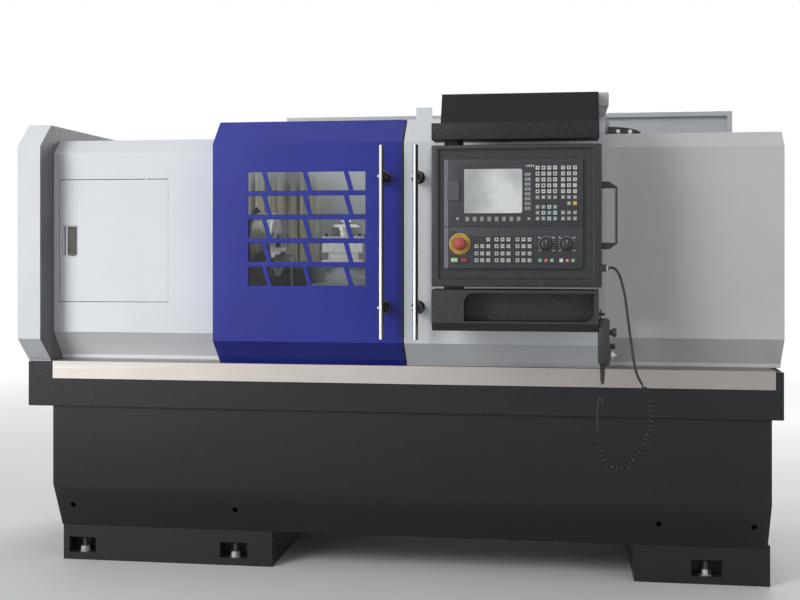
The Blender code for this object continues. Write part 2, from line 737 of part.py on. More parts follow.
def way_outlines(slack=0.0):
    """Section of the bed's front and rear ways in (y, z), made larger by a slack for what rides on them."""
    outlines = []
    for middle, foot, crest in ((-0.140, 0.022, 0.007), (0.140, 0.030, 0.030)):
        y = SPINDLE_Y + middle
        foot += slack * 2
        crest += slack * 2
        top = BED_TOP + WAY_HEIGHT + slack
        low = BED_TOP - 0.001
        outlines.append([(y - foot, low), (y + foot, low), (y + crest, top), (y - crest, top)])
    return outlines


def build_base():
    chamfer_top = FOOT_HEIGHT + BASE_CHAMFER_RISE
    foot_front = BASE_FRONT + FOOT_SETBACK
    outline = [
        (BASE_BACK, FOOT_HEIGHT),
        (BASE_BACK, BASE_HEIGHT),
        (BASE_FRONT, BASE_HEIGHT),
        (BASE_FRONT, chamfer_top),
        (foot_front, FOOT_HEIGHT),
    ]
    base = plate("base_cabinet", outline, "X", BASE_LEFT, BASE_RIGHT)
    for index, (low_x, high_x) in enumerate((LEFT_FOOT, RIGHT_FOOT)):
        foot = box(
            f"foot_{index + 1}",
            (low_x, foot_front + FOOT_INSET, 0),
            (high_x, BASE_BACK - FOOT_INSET, FOOT_HEIGHT + BASE_WALL),
        )
        join(base, foot)
    hollow = [(y, z - OVERCUT if z == FOOT_HEIGHT else z) for y, z in outline]
    cut(
        base,
        plate(
            "base_hollow",
            inset(hollow, BASE_WALL),
            "X",
            LEFT_FOOT[1] + BASE_WALL,
            RIGHT_FOOT[0] - BASE_WALL,
        ),
    )
    for index, left in enumerate(POCKET_LEFTS):
        pocket = box(
            f"levelling_pocket_{index + 1}",
            (left, foot_front - OVERCUT, POCKET_BOTTOM),
            (left + POCKET_LENGTH, foot_front + POCKET_DEPTH, POCKET_BOTTOM + POCKET_HEIGHT),
        )
        cut(base, pocket)
    hole_z = FOOT_HEIGHT + BASE_CHAMFER_RISE / 2
    for index, x in enumerate(LIFTING_HOLES):
        start = (x, BASE_FRONT + FOOT_SETBACK, hole_z)
        hole = rod(f"lifting_hole_{index + 1}", start, FOOT_SETBACK + OVERCUT, LIFTING_HOLE_RADIUS, "Y", 16)
        cut(base, hole)
    paint(base, BLACK, 0.45)


def build_tray():
    tray = box(
        "chip_tray", (TRAY_LEFT, TRAY_FRONT, TRAY_BOTTOM), (TRAY_RIGHT, TRAY_BACK, TRAY_TOP)
    )
    inside = box(
        "tray_inside",
        (TRAY_LEFT + TRAY_SIDE_RIM, TRAY_FRONT + TRAY_FRONT_RIM, TRAY_INSIDE),
        (TRAY_RIGHT - TRAY_RIGHT_RIM, TRAY_BACK - TRAY_BACK_RIM, TRAY_TOP + OVERCUT),
    )
    cut(tray, inside)
    paint(tray, BLACK, 0.40)
    ledge_back = RAIL_FRONT + RAIL_LEDGE
    path = [
        (ledge_back, RAIL_TOP),
        (RAIL_FRONT, RAIL_TOP),
        (RAIL_FRONT, RAIL_TOP - RAIL_HEIGHT),
    ]
    rail = plate("door_rail", sheet_outline(path, RAIL_SHEET), "X", RAIL_LEFT, RAIL_RIGHT)
    paint(rail, STEEL, 0.30, 1.0)


def build_end_cover():
    back = BACK_Y - REAR_GUARD_DEPTH
    cover = pan(
        "end_cover",
        door_profile(back, TRAY_TOP + GAP),
        door_profile(back, TRAY_TOP - OVERCUT),
        (LEFT_X, END_COVER_RIGHT - GAP),
        ("left", "right"),
        SHEET,
    )
    edge = BELT_OPENING_EDGE
    opening = box(
        "belt_opening",
        (END_COVER_RIGHT - SHEET - OVERCUT, GUARD_FRONT + edge, TRAY_TOP + edge),
        (END_COVER_RIGHT + OVERCUT, back - edge, GUARD_TOP - 2 * edge),
    )
    cut(cover, opening)
    paint(cover, WHITE, 0.35)


def build_headstock_cover():
    back = BACK_Y - 0.010
    cover = pan(
        "headstock_cover",
        guard_profile(back),
        guard_profile(back, SKIRT_BOTTOM - OVERCUT),
        (END_COVER_RIGHT, COVER_RIGHT),
        ("right",),
        SHEET,
    )
    cut(
        cover,
        rod(
            "spindle_opening",
            (COVER_RIGHT - SHEET - OVERCUT, SPINDLE_Y, SPINDLE_Z),
            SHEET + 2 * OVERCUT,
            SPINDLE_OPENING_RADIUS,
            "X",
        ),
    )
    bed_low = BED_BOTTOM - OVERCUT
    bed_side = BED_HALF_WIDTH + RUNNING_CLEARANCE * 10
    cut(
        cover,
        box(
            "bed_opening",
            (COVER_RIGHT - SHEET - OVERCUT, SPINDLE_Y - bed_side - SCREW_STAND_OFF * 2, bed_low),
            (COVER_RIGHT + OVERCUT, SPINDLE_Y + bed_side, BED_TOP + WAY_HEIGHT + OVERCUT),
        ),
        box(
            "access_opening",
            (ACCESS_LEFT, GUARD_FRONT - OVERCUT, ACCESS_BOTTOM),
            (ACCESS_RIGHT, GUARD_FRONT + OVERCUT, ACCESS_TOP),
        ),
        box(
            "cabinet_opening",
            (CABINET_LEFT - GAP, back - OVERCUT, CABINET_BOTTOM - GAP),
            (CABINET_RIGHT + GAP, back + OVERCUT, CABINET_TOP + GAP),
        ),
    )
    paint(cover, WHITE, 0.35)


def build_access_door():
    right = ACCESS_RIGHT - GAP
    door = box(
        "access_door",
        (ACCESS_LEFT + ACCESS_CLEARANCE, GUARD_FRONT, ACCESS_BOTTOM + ACCESS_CLEARANCE),
        (right, GUARD_FRONT + SHEET, ACCESS_TOP - ACCESS_CLEARANCE),
        origin=(right, GUARD_FRONT, (ACCESS_BOTTOM + ACCESS_TOP) / 2),
    )
    latch_right = LATCH_LEFT + LATCH_WIDTH
    latch_top = LATCH_BOTTOM + LATCH_HEIGHT
    cup = box(
        "latch_cup",
        (LATCH_LEFT, GUARD_FRONT - 0.001, LATCH_BOTTOM),
        (latch_right, GUARD_FRONT + LATCH_CUP, latch_top),
    )
    join(door, cup)
    inside_right = latch_right - LATCH_RIM
    pocket = box(
        "latch_pocket",
        (LATCH_LEFT + LATCH_RIM, GUARD_FRONT - OVERCUT, LATCH_BOTTOM + LATCH_RIM),
        (inside_right, GUARD_FRONT + LATCH_CUP - LATCH_RIM, latch_top - LATCH_RIM),
    )
    cut(door, pocket)
    paint(door, WHITE, 0.35)
    paddle_right = inside_right - GAP
    front = GUARD_FRONT - 0.003
    paddle = box(
        "access_latch",
        (paddle_right - PADDLE_WIDTH, front, LATCH_BOTTOM + LATCH_RIM + GAP),
        (paddle_right, front + PADDLE_THICKNESS, latch_top - LATCH_RIM - GAP),
        origin=(paddle_right, front, LATCH_BOTTOM + LATCH_HEIGHT / 2),
    )
    paint(paddle, BLACK, 0.40)


def build_right_guard():
    back = BACK_Y - REAR_GUARD_DEPTH
    guard = pan(
        "right_guard",
        guard_profile(back),
        guard_profile(back + OVERCUT, SKIRT_BOTTOM - OVERCUT),
        (GUARD_LEFT, RIGHT_X),
        ("right",),
        SHEET,
    )
    roof_back = GUARD_FRONT + GUARD_HIGH_DEPTH + GUARD_ROOF
    open_roof = box(
        "open_roof",
        (GUARD_LEFT - OVERCUT, roof_back, GUARD_TOP - 2 * SHEET),
        (RIGHT_X - SHEET, back + OVERCUT, GUARD_TOP + OVERCUT),
    )
    cut(guard, open_roof)
    paint(guard, WHITE, 0.35)
    brow = GUARD_FRONT + GUARD_HIGH_DEPTH
    path = [
        (brow + RAIL_ROOF, GUARD_TOP),
        (brow, GUARD_TOP),
        (GUARD_FRONT, GUARD_FACE_TOP),
        (GUARD_FRONT, GUARD_FACE_TOP - RAIL_LIP),
    ]
    lintel = plate("upper_rail", sheet_outline(path, SHEET), "X", COVER_RIGHT + GAP, GUARD_LEFT - GAP)
    paint(lintel, WHITE, 0.35)


def build_rear_guard():
    front = BACK_Y - REAR_GUARD_DEPTH + GAP
    left = COVER_RIGHT + GAP
    bottom = TRAY_TOP + GAP
    guard = box(
        "rear_guard",
        (left, front, bottom),
        (REAR_GUARD_RIGHT, BACK_Y, REAR_GUARD_TOP),
    )
    pocket = box(
        "rear_guard_pocket",
        (left + REAR_GUARD_FRAME, front - OVERCUT, bottom + REAR_GUARD_FRAME),
        (REAR_GUARD_RIGHT - REAR_GUARD_FRAME, BACK_Y - SHEET, REAR_GUARD_TOP - REAR_GUARD_FRAME),
    )
    cut(guard, pocket)
    paint(guard, LIGHT_GREY, 0.40)


def build_door(name, ends, colour):
    door_back = DOOR_FRONT + DOOR_CHAMFER_DEPTH + DOOR_RETURN
    door = pan(
        name, door_profile(door_back), door_profile(door_back + OVERCUT), ends, ("left", "right"), DOOR_SHEET
    )
    hook_back = DOOR_FRONT + DOOR_CHAMFER_DEPTH + DOOR_HOOK_REACH
    path = [
        (hook_back, GUARD_TOP + GAP),
        (hook_back, DOOR_TOP),
        (door_back - DOOR_RETURN / 2, DOOR_TOP),
    ]
    hook = plate(name + "_hook", sheet_outline(path, DOOR_SHEET), "X", *ends)
    join(door, hook)
    paint(door, colour, 0.30)
    return door


def window_cells():
    """Outlines of the barred openings in (x, z): rows of cells between slanted bars."""
    cells = []
    for row in range(CELL_ROWS):
        top = WINDOW_TOP - row * CELL_PITCH
        low = top - CELL_HEIGHT
        tops = [WINDOW_LEFT]
        lows = [WINDOW_LEFT]
        for bar in range(SLANT_BARS):
            middle = SLANT_FIRST + bar * SLANT_PITCH
            tops += [middle - SLANT_WIDTH / 2, middle + SLANT_WIDTH / 2]
            lows += [middle + SLANT_LEAN - SLANT_WIDTH / 2, middle + SLANT_LEAN + SLANT_WIDTH / 2]
        tops.append(WINDOW_RIGHT)
        lows.append(WINDOW_RIGHT)
        for i in range(0, len(tops), 2):
            cells.append([(lows[i], low), (lows[i + 1], low), (tops[i + 1], top), (tops[i], top)])
    return cells


def build_doors():
    left = build_door("left_door", LEFT_DOOR, BLUE)
    cells = plates(
        "window_cells", window_cells(), "Y", DOOR_FRONT - OVERCUT, DOOR_FRONT + OVERCUT
    )
    cut(left, cells)
    window_low = WINDOW_TOP - (CELL_ROWS - 1) * CELL_PITCH - CELL_HEIGHT
    glass_front = DOOR_FRONT + DOOR_SHEET + GAP
    glass = box(
        "left_door_glass",
        (WINDOW_LEFT - GLASS_MARGIN, glass_front, window_low - GLASS_MARGIN),
        (WINDOW_RIGHT + GLASS_MARGIN, glass_front + GLASS_THICKNESS, WINDOW_TOP + GLASS_MARGIN),
    )
    paint(glass, (0.80, 0.85, 0.85), 0.05, 0.0, 0.3)
    right = build_door("right_door", RIGHT_DOOR, WHITE)
    foot = DOOR_FRONT + DOOR_CHAMFER_DEPTH
    tab = box(
        "door_tab",
        (DOOR_TAB[0], foot, DOOR_TOP - DOOR_SHEET / 2),
        (DOOR_TAB[1], foot + SHEET, DOOR_TOP + DOOR_TAB_HEIGHT),
    )
    join(right, tab)
    for name, x in HANDLE_XS.items():
        build_handle(name, x)


def build_handle(name, x):
    bar_y = DOOR_FRONT - HANDLE_STAND_OUT
    bar = rod(name, (x, bar_y, HANDLE_BOTTOM), HANDLE_LENGTH, HANDLE_BAR_RADIUS, "Z", 16)
    boss = HANDLE_BOSS_LENGTH
    profile = [
        (0, HANDLE_STAND_OUT),
        (0.006, HANDLE_STAND_OUT),
        (0.006, boss + 0.002),
        (HANDLE_BOSS_RADIUS - 0.007, boss),
        (HANDLE_BOSS_RADIUS, boss - 0.008),
        (HANDLE_BOSS_RADIUS, 0.012),
        (HANDLE_BOSS_RADIUS + 0.001, GAP),
        (0, GAP),
    ]
    for index, z in enumerate(HANDLE_BOSSES):
        join(bar, turned(f"{name}_boss_{index + 1}", (x, DOOR_FRONT, z), profile, "Y", SMALL_STEPS))
    paint(bar, STEEL, 0.12, 1.0)


def build_bed():
    half = BED_HALF_WIDTH
    waist = half - BED_WAIST
    outline = [
        (SPINDLE_Y + half, BED_BOTTOM),
        (SPINDLE_Y + half, BED_BOTTOM + 0.03),
        (SPINDLE_Y + waist, BED_BOTTOM + 0.07),
        (SPINDLE_Y + waist, BED_TOP - 0.08),
        (SPINDLE_Y + half, BED_TOP - 0.045),
        (SPINDLE_Y + half, BED_TOP),
    ]
    outline += [(2 * SPINDLE_Y - y, z) for y, z in reversed(outline)]
    bed = plate("lathe_bed", outline, "X", BED_LEFT, BED_RIGHT)
    for index, way in enumerate(way_outlines()):
        join(bed, plate(f"bed_way_{index + 1}", way, "X", WAY_LEFT, BED_RIGHT))
    count = int((BED_RIGHT - WAY_LEFT - BED_RIB) / (BED_WINDOW + BED_RIB))
    for index in range(count):
        left = WAY_LEFT + BED_RIB + index * (BED_WINDOW + BED_RIB)
        slot = box(
            f"bed_slot_{index + 1}",
            (left, SPINDLE_Y - BED_SLOT_HALF, BED_BOTTOM + BED_FLOOR),
            (left + BED_WINDOW, SPINDLE_Y + BED_SLOT_HALF, BED_TOP + OVERCUT),
        )
        side = box(
            f"bed_side_{index + 1}",
            (left, SPINDLE_Y - half - OVERCUT, BED_BOTTOM + BED_WINDOW_FOOT),
            (left + BED_WINDOW, SPINDLE_Y + half + OVERCUT, BED_TOP - BED_WINDOW_HEAD),
        )
        cut(bed, slot, side)
    paint(bed, CAST_GREY, 0.40, 0.3)


def build_headstock():
    left = HEADSTOCK_FACE - HEADSTOCK_LENGTH
    bottom = BED_TOP + GAP
    casting = box(
        "headstock_casting",
        (left, SPINDLE_Y - HEADSTOCK_HALF_WIDTH, bottom),
        (HEADSTOCK_FACE, SPINDLE_Y + HEADSTOCK_HALF_WIDTH, bottom + HEADSTOCK_HEIGHT),
        bevel=0.02,
    )
    bore = rod(
        "headstock_bore",
        (left - OVERCUT, SPINDLE_Y, SPINDLE_Z),
        HEADSTOCK_LENGTH + 2 * OVERCUT,
        SPINDLE_RADIUS + RUNNING_CLEARANCE,
        "X",
    )
    cut(casting, bore)
    paint(casting, LIGHT_GREY, 0.45)
    nose = HEADSTOCK_FACE + SPINDLE_NOSE
    pulley_right = PULLEY_LEFT + PULLEY_WIDTH
    rim = 0.003
    profile = [
        (CHUCK_RADIUS * 0.62, nose),
        (CHUCK_RADIUS * 0.62, HEADSTOCK_FACE + GAP),
        (SPINDLE_RADIUS, HEADSTOCK_FACE + GAP),
        (SPINDLE_RADIUS, pulley_right),
        (SPINDLE_PULLEY_RADIUS + rim, pulley_right),
        (SPINDLE_PULLEY_RADIUS + rim, pulley_right - rim),
        (SPINDLE_PULLEY_RADIUS, pulley_right - rim),
        (SPINDLE_PULLEY_RADIUS, PULLEY_LEFT + rim),
        (SPINDLE_PULLEY_RADIUS + rim, PULLEY_LEFT + rim),
        (SPINDLE_PULLEY_RADIUS + rim, PULLEY_LEFT),
        (SPINDLE_BORE, PULLEY_LEFT),
        (SPINDLE_BORE, nose),
    ]
    spindle = turned("spindle", (0, SPINDLE_Y, SPINDLE_Z), profile, "X", ROUND_STEPS, closed=True)
    paint(spindle, STEEL, 0.25, 1.0)


def build_chuck():
    back = HEADSTOCK_FACE + SPINDLE_NOSE + GAP
    face = back + CHUCK_LENGTH
    profile = [
        (CHUCK_RADIUS - 0.004, face),
        (CHUCK_RADIUS, face - 0.004),
        (CHUCK_RADIUS, back + 0.030),
        (CHUCK_RADIUS - 0.006, back + 0.026),
        (CHUCK_RADIUS - 0.006, back),
        (CHUCK_BORE, back),
        (CHUCK_BORE, face),
    ]
    chuck = turned("chuck_body", (0, SPINDLE_Y, SPINDLE_Z), profile, "X", ROUND_STEPS, closed=True)
    paint(chuck, STEEL, 0.30, 1.0)
    half = JAW_WIDTH / 2
    slot_floor = face - JAW_SLOT_DEPTH
    for index in range(JAW_COUNT):
        turn = Matrix.Rotation(index * math.tau / JAW_COUNT, 4, "X")
        place = Matrix.Translation((0, SPINDLE_Y, SPINDLE_Z)) @ turn
        slot = box(
            f"jaw_slot_{index + 1}",
            (slot_floor, -half - GAP, CHUCK_BORE / 2),
            (face + OVERCUT, half + GAP, CHUCK_RADIUS + OVERCUT),
            origin=(0, 0, 0),
        )
        slot.matrix_world = place
        cut(chuck, slot)
        foot = slot_floor + GAP
        outline = [(JAW_INNER, foot), (JAW_OUTER, foot)]
        for step in range(3):
            outer = JAW_OUTER - step * JAW_STEP
            rise = face + 0.012 + step * JAW_STEP_RISE
            outline += [(outer, rise), (outer - JAW_STEP, rise)]
        outline[-1] = (JAW_INNER, outline[-1][1])
        profile_xz = [(x, z) for z, x in outline]
        jaw = plate(f"chuck_jaw_{index + 1}", profile_xz, "Y", -half, half)
        jaw.matrix_world = place @ jaw.matrix_world
        paint(jaw, STEEL, 0.35, 1.0)


def build_motor():
    axis_z = TRAY_INSIDE + MOTOR_AXIS_HEIGHT
    left = PULLEY_LEFT + PULLEY_WIDTH + 0.012
    right = left + MOTOR_LENGTH
    shaft = 0.018
    profile = [
        (0, right),
        (MOTOR_RADIUS - 0.02, right),
        (MOTOR_RADIUS, right - 0.02),
        (MOTOR_RADIUS, left + 0.015),
        (MOTOR_RADIUS - 0.02, left),
        (shaft + 0.01, left),
        (shaft + 0.01, left - 0.005),
        (0, left - 0.005),
    ]
    motor = turned("spindle_motor", (0, MOTOR_Y, axis_z), profile, "X", SMALL_STEPS)
    foot = box(
        "motor_foot",
        (left + 0.06, MOTOR_Y - MOTOR_RADIUS, TRAY_INSIDE + GAP),
        (right - 0.06, MOTOR_Y + MOTOR_RADIUS, axis_z - MOTOR_RADIUS / 2),
    )
    join(motor, foot)
    paint(motor, CAST_GREY, 0.5)
    pulley_right = PULLEY_LEFT + PULLEY_WIDTH
    rim = 0.003
    radius = MOTOR_PULLEY_RADIUS
    pulley_profile = [
        (0, left - 0.005 - GAP),
        (shaft, left - 0.005 - GAP),
        (shaft, pulley_right),
        (radius + rim, pulley_right),
        (radius + rim, pulley_right - rim),
        (radius, pulley_right - rim),
        (radius, PULLEY_LEFT + rim),
        (radius + rim, PULLEY_LEFT + rim),
        (radius + rim, PULLEY_LEFT),
        (0, PULLEY_LEFT),
    ]
    pulley = turned("motor_pulley", (0, MOTOR_Y, axis_z), pulley_profile, "X", ROUND_STEPS)
    paint(pulley, STEEL, 0.35, 1.0)
    build_belt(axis_z)


def belt_loop(spread, axis_z):
    """Outline round both pulleys in (y, z), at a spread over their radii."""
    top = Vector((SPINDLE_Y, SPINDLE_Z))
    low = Vector((MOTOR_Y, axis_z))
    span = low - top
    heading = math.degrees(math.atan2(span.y, span.x))
    lean = math.degrees(math.asin((SPINDLE_PULLEY_RADIUS - MOTOR_PULLEY_RADIUS) / span.length))
    first = arc(top, SPINDLE_PULLEY_RADIUS + spread, heading + 90 - lean, heading + 270 + lean, 24)
    second = arc(low, MOTOR_PULLEY_RADIUS + spread, heading - 90 + lean, heading + 90 - lean, 18)
    return first + second


def build_belt(axis_z):
    left = PULLEY_LEFT + (PULLEY_WIDTH - BELT_WIDTH) / 2
    right = left + BELT_WIDTH
    belt = plate("drive_belt", belt_loop(GAP * 2 + BELT_THICKNESS, axis_z), "X", left, right)
    inner = plate("belt_inside", belt_loop(GAP * 2, axis_z), "X", left - OVERCUT, right + OVERCUT)
    cut(belt, inner)
    paint(belt, BLACK, 0.8)


def build_cabinet():
    cabinet = box(
        "electrical_cabinet",
        (CABINET_LEFT, CABINET_FRONT, CABINET_BOTTOM),
        (CABINET_RIGHT, BACK_Y, CABINET_TOP),
        bevel=0.003,
    )
    louvre = 0.008
    for index in range(6):
        z = CABINET_BOTTOM + 0.08 + index * 0.025
        slot = box(
            f"louvre_{index + 1}",
            (CABINET_LEFT + 0.10, BACK_Y - 0.004, z),
            (CABINET_RIGHT - 0.10, BACK_Y + OVERCUT, z + louvre),
        )
        cut(cabinet, slot)
    paint(cabinet, WHITE, 0.45)


def build_carriage():
    right = SADDLE_LEFT + SADDLE_LENGTH
    bottom = BED_TOP + GAP
    top = BED_TOP + WAY_HEIGHT + SADDLE_THICKNESS
    bed_front = SPINDLE_Y - BED_HALF_WIDTH
    saddle_front = bed_front - GAP - APRON_THICKNESS
    saddle_back = SPINDLE_Y + BED_HALF_WIDTH + 0.02
    saddle = box("saddle", (SADDLE_LEFT, saddle_front, bottom), (right, saddle_back, top))
    for index, way in enumerate(way_outlines(GAP)):
        cut(saddle, plate(f"saddle_way_{index + 1}", way, "X", SADDLE_LEFT - OVERCUT, right + OVERCUT))
    apron = box(
        "apron",
        (SADDLE_LEFT + 0.04, saddle_front, bottom - APRON_DROP),
        (right - 0.04, bed_front - GAP, bottom + 0.02),
    )
    join(saddle, apron)
    screw_y = bed_front - SCREW_STAND_OFF
    screw_z = BED_TOP - SCREW_DROP
    bore = rod(
        "nut_bore",
        (SADDLE_LEFT - OVERCUT, screw_y, screw_z),
        SADDLE_LENGTH + 2 * OVERCUT,
        SCREW_RADIUS + RUNNING_CLEARANCE,
        "X",
        SMALL_STEPS,
    )
    cut(saddle, bore)
    key_half = 0.060
    middle = CROSS_LEFT + CROSS_WIDTH / 2
    key = [
        (middle - key_half, top - 0.01),
        (middle + key_half, top - 0.01),
        (middle + key_half + 0.012, top + 0.016),
        (middle - key_half - 0.012, top + 0.016),
    ]
    join(saddle, plate("cross_key", key, "Y", saddle_front, saddle_back))
    paint(saddle, CAST_GREY, 0.40, 0.4)
    build_z_screw(screw_y, screw_z)
    build_cross_slide(key, top, saddle_back)


def build_z_screw(screw_y, screw_z):
    bracket = 0.030
    left = HEADSTOCK_FACE + 0.040
    start = (left + GAP, screw_y, screw_z)
    screw = rod("z_ballscrew", start, SCREW_RIGHT - left - 2 * GAP, SCREW_RADIUS, "X", SMALL_STEPS)
    paint(screw, STEEL, 0.25, 1.0)
    bed_front = SPINDLE_Y - BED_HALF_WIDTH
    motor = box(
        "z_servo_motor",
        (SCREW_RIGHT, screw_y - SERVO_HALF, screw_z - SERVO_HALF),
        (SCREW_RIGHT + SERVO_LENGTH, screw_y + SERVO_HALF, screw_z + SERVO_HALF),
        bevel=0.008,
    )
    flange = box(
        "servo_flange",
        (BED_RIGHT + GAP, screw_y - SERVO_HALF, BED_BOTTOM + 0.10),
        (SCREW_RIGHT + 0.015, bed_front + 0.10, screw_z + SERVO_HALF - 0.01),
    )
    journal = rod(
        "servo_journal",
        (BED_RIGHT - OVERCUT, screw_y, screw_z),
        SCREW_RIGHT - BED_RIGHT + OVERCUT,
        SCREW_RADIUS + RUNNING_CLEARANCE,
        "X",
        SMALL_STEPS,
    )
    join(motor, flange)
    cut(motor, journal)
    paint(motor, BLACK, 0.5)
    end = box(
        "screw_bracket",
        (left - bracket, screw_y - 0.03, screw_z - 0.03),
        (left, bed_front - GAP, screw_z + 0.03),
        bevel=0.003,
    )
    paint(end, CAST_GREY, 0.5)


def build_cross_slide(key, saddle_top, saddle_back):
    bottom = saddle_top + GAP
    slide = box(
        "cross_slide",
        (CROSS_LEFT, CROSS_FRONT, bottom),
        (CROSS_LEFT + CROSS_WIDTH, CROSS_FRONT + CROSS_LENGTH, bottom + CROSS_HEIGHT),
        bevel=0.003,
    )
    slack = 2 * GAP
    groove = [
        (key[0][0] - slack, key[0][1]),
        (key[1][0] + slack, key[1][1]),
        (key[2][0] + slack, key[2][1] + slack),
        (key[3][0] - slack, key[3][1] + slack),
    ]
    end = CROSS_FRONT + CROSS_LENGTH + OVERCUT
    cut(slide, plate("cross_groove", groove, "Y", CROSS_FRONT - OVERCUT, end))
    paint(slide, CAST_GREY, 0.35, 0.5)
    middle = CROSS_LEFT + CROSS_WIDTH / 2
    motor = box(
        "x_servo_motor",
        (middle - SERVO_HALF, saddle_back + GAP, saddle_top - 0.10),
        (middle + SERVO_HALF, saddle_back + SERVO_LENGTH, saddle_top - 0.002),
        bevel=0.008,
    )
    paint(motor, BLACK, 0.5)
    build_turret(middle, bottom + CROSS_HEIGHT)


def build_turret(x, slide_top):
    y = SPINDLE_Y + TURRET_SETBACK
    base_bottom = slide_top + GAP
    radius = TURRET_BASE_RADIUS
    base_top = base_bottom + TURRET_BASE_HEIGHT
    profile = [
        (0, TURRET_BASE_HEIGHT),
        (radius - 0.006, TURRET_BASE_HEIGHT),
        (radius - 0.003, 0.020),
        (radius, 0.016),
        (radius, 0),
        (0, 0),
    ]
    base = turned("turret_base", (x, y, base_bottom), profile, "Z", ROUND_STEPS)
    paint(base, LIGHT_GREY, 0.4)
    head_bottom = base_top + GAP
    head = box(
        "turret_head",
        (x - TURRET_HALF, y - TURRET_HALF, head_bottom),
        (x + TURRET_HALF, y + TURRET_HALF, head_bottom + TURRET_HEIGHT),
        bevel=0.004,
        origin=(x, y, head_bottom),
    )
    slot_low = head_bottom + 0.030
    slot_high = slot_low + TURRET_SLOT_HEIGHT
    reach = TURRET_HALF + OVERCUT
    depth = TURRET_HALF - TURRET_SLOT_DEPTH
    slots = (
        ("front", (-reach, -reach), (reach, -depth)),
        ("back", (-reach, depth), (reach, reach)),
        ("left", (-reach, -reach), (-depth, reach)),
        ("right", (depth, -reach), (reach, reach)),
    )
    for side, low, high in slots:
        slot = box(
            f"turret_slot_{side}",
            (x + low[0], y + low[1], slot_low),
            (x + high[0], y + high[1], slot_high),
        )
        cut(head, slot)
    cap = turned(
        "turret_cap",
        (x, y, head_bottom + TURRET_HEIGHT - 0.01),
        [(0, 0.055), (0.045, 0.055), (0.055, 0.045), (0.055, 0), (0, 0)],
        "Z",
        SMALL_STEPS,
    )
    join(head, cap)
    paint(head, STEEL, 0.35, 0.8)


def build_tailstock():
    right = TAILSTOCK_LEFT + TAILSTOCK_LENGTH
    bottom = BED_TOP + GAP
    half = TAILSTOCK_HALF_WIDTH
    shoulder = BED_TOP + WAY_HEIGHT + 0.075
    foot_half = BED_HALF_WIDTH - 0.005
    outline = [
        (SPINDLE_Y + foot_half, bottom),
        (SPINDLE_Y + foot_half, shoulder - 0.03),
        (SPINDLE_Y + half * 0.55, shoulder + 0.02),
        (SPINDLE_Y + BARREL_RADIUS * 0.8, SPINDLE_Z),
    ]
    outline += [(2 * SPINDLE_Y - y, z) for y, z in reversed(outline)]
    body = plate("tailstock_body", outline, "X", TAILSTOCK_LEFT + 0.02, right - 0.02)
    middle = Vector((0, SPINDLE_Y, SPINDLE_Z))
    barrel = rod(
        "tailstock_barrel", middle + Vector((TAILSTOCK_LEFT, 0, 0)), TAILSTOCK_LENGTH, BARREL_RADIUS, "X"
    )
    join(body, barrel)
    for index, way in enumerate(way_outlines(GAP)):
        cut(body, plate(f"tailstock_way_{index + 1}", way, "X", TAILSTOCK_LEFT, right))
    bore = rod(
        "quill_bore",
        middle + Vector((TAILSTOCK_LEFT - OVERCUT, 0, 0)),
        TAILSTOCK_LENGTH + OVERCUT - BARREL_END,
        QUILL_RADIUS + RUNNING_CLEARANCE,
        "X",
    )
    cut(body, bore)
    paint(body, LIGHT_GREY, 0.45)
    quill_left = TAILSTOCK_LEFT - QUILL_STAND_OUT
    quill_right = right - BARREL_END - GAP
    quill_profile = [
        (0, quill_right),
        (QUILL_RADIUS, quill_right),
        (QUILL_RADIUS, quill_left),
        (0, quill_left),
    ]
    quill = turned("tailstock_quill", middle, quill_profile, "X", ROUND_STEPS)
    paint(quill, STEEL, 0.20, 1.0)
    seat = quill_left - GAP
    centre_profile = [
        (0, seat),
        (0.026, seat),
        (0.026, seat - 0.035),
        (0.014, seat - 0.040),
        (0.012, seat - 0.055),
        (0, seat - CENTRE_LENGTH),
    ]
    centre = turned("live_centre", middle, centre_profile, "X", SMALL_STEPS)
    paint(centre, STEEL, 0.25, 1.0)
    build_tail_wheel(right)


def build_tail_wheel(right):
    middle = Vector((0, SPINDLE_Y, SPINDLE_Z))
    hub_left = right + GAP
    radius = TAIL_WHEEL_RADIUS
    profile = [
        (0, hub_left + 0.045),
        (0.024, hub_left + 0.045),
        (0.028, hub_left + 0.030),
        (radius - 0.018, hub_left + 0.026),
        (radius - 0.012, hub_left + 0.036),
        (radius, hub_left + 0.030),
        (radius, hub_left + 0.018),
        (radius - 0.012, hub_left + 0.012),
        (radius - 0.018, hub_left + 0.018),
        (0.028, hub_left + 0.016),
        (0.028, hub_left),
        (0, hub_left),
    ]
    wheel = turned("tailstock_handwheel", middle, profile, "X", ROUND_STEPS)
    crank = rod(
        "wheel_crank", middle + Vector((hub_left + 0.022, 0, radius - 0.012)), 0.075, 0.008, "X", 12
    )
    join(wheel, crank)
    paint(wheel, STEEL, 0.2, 1.0)


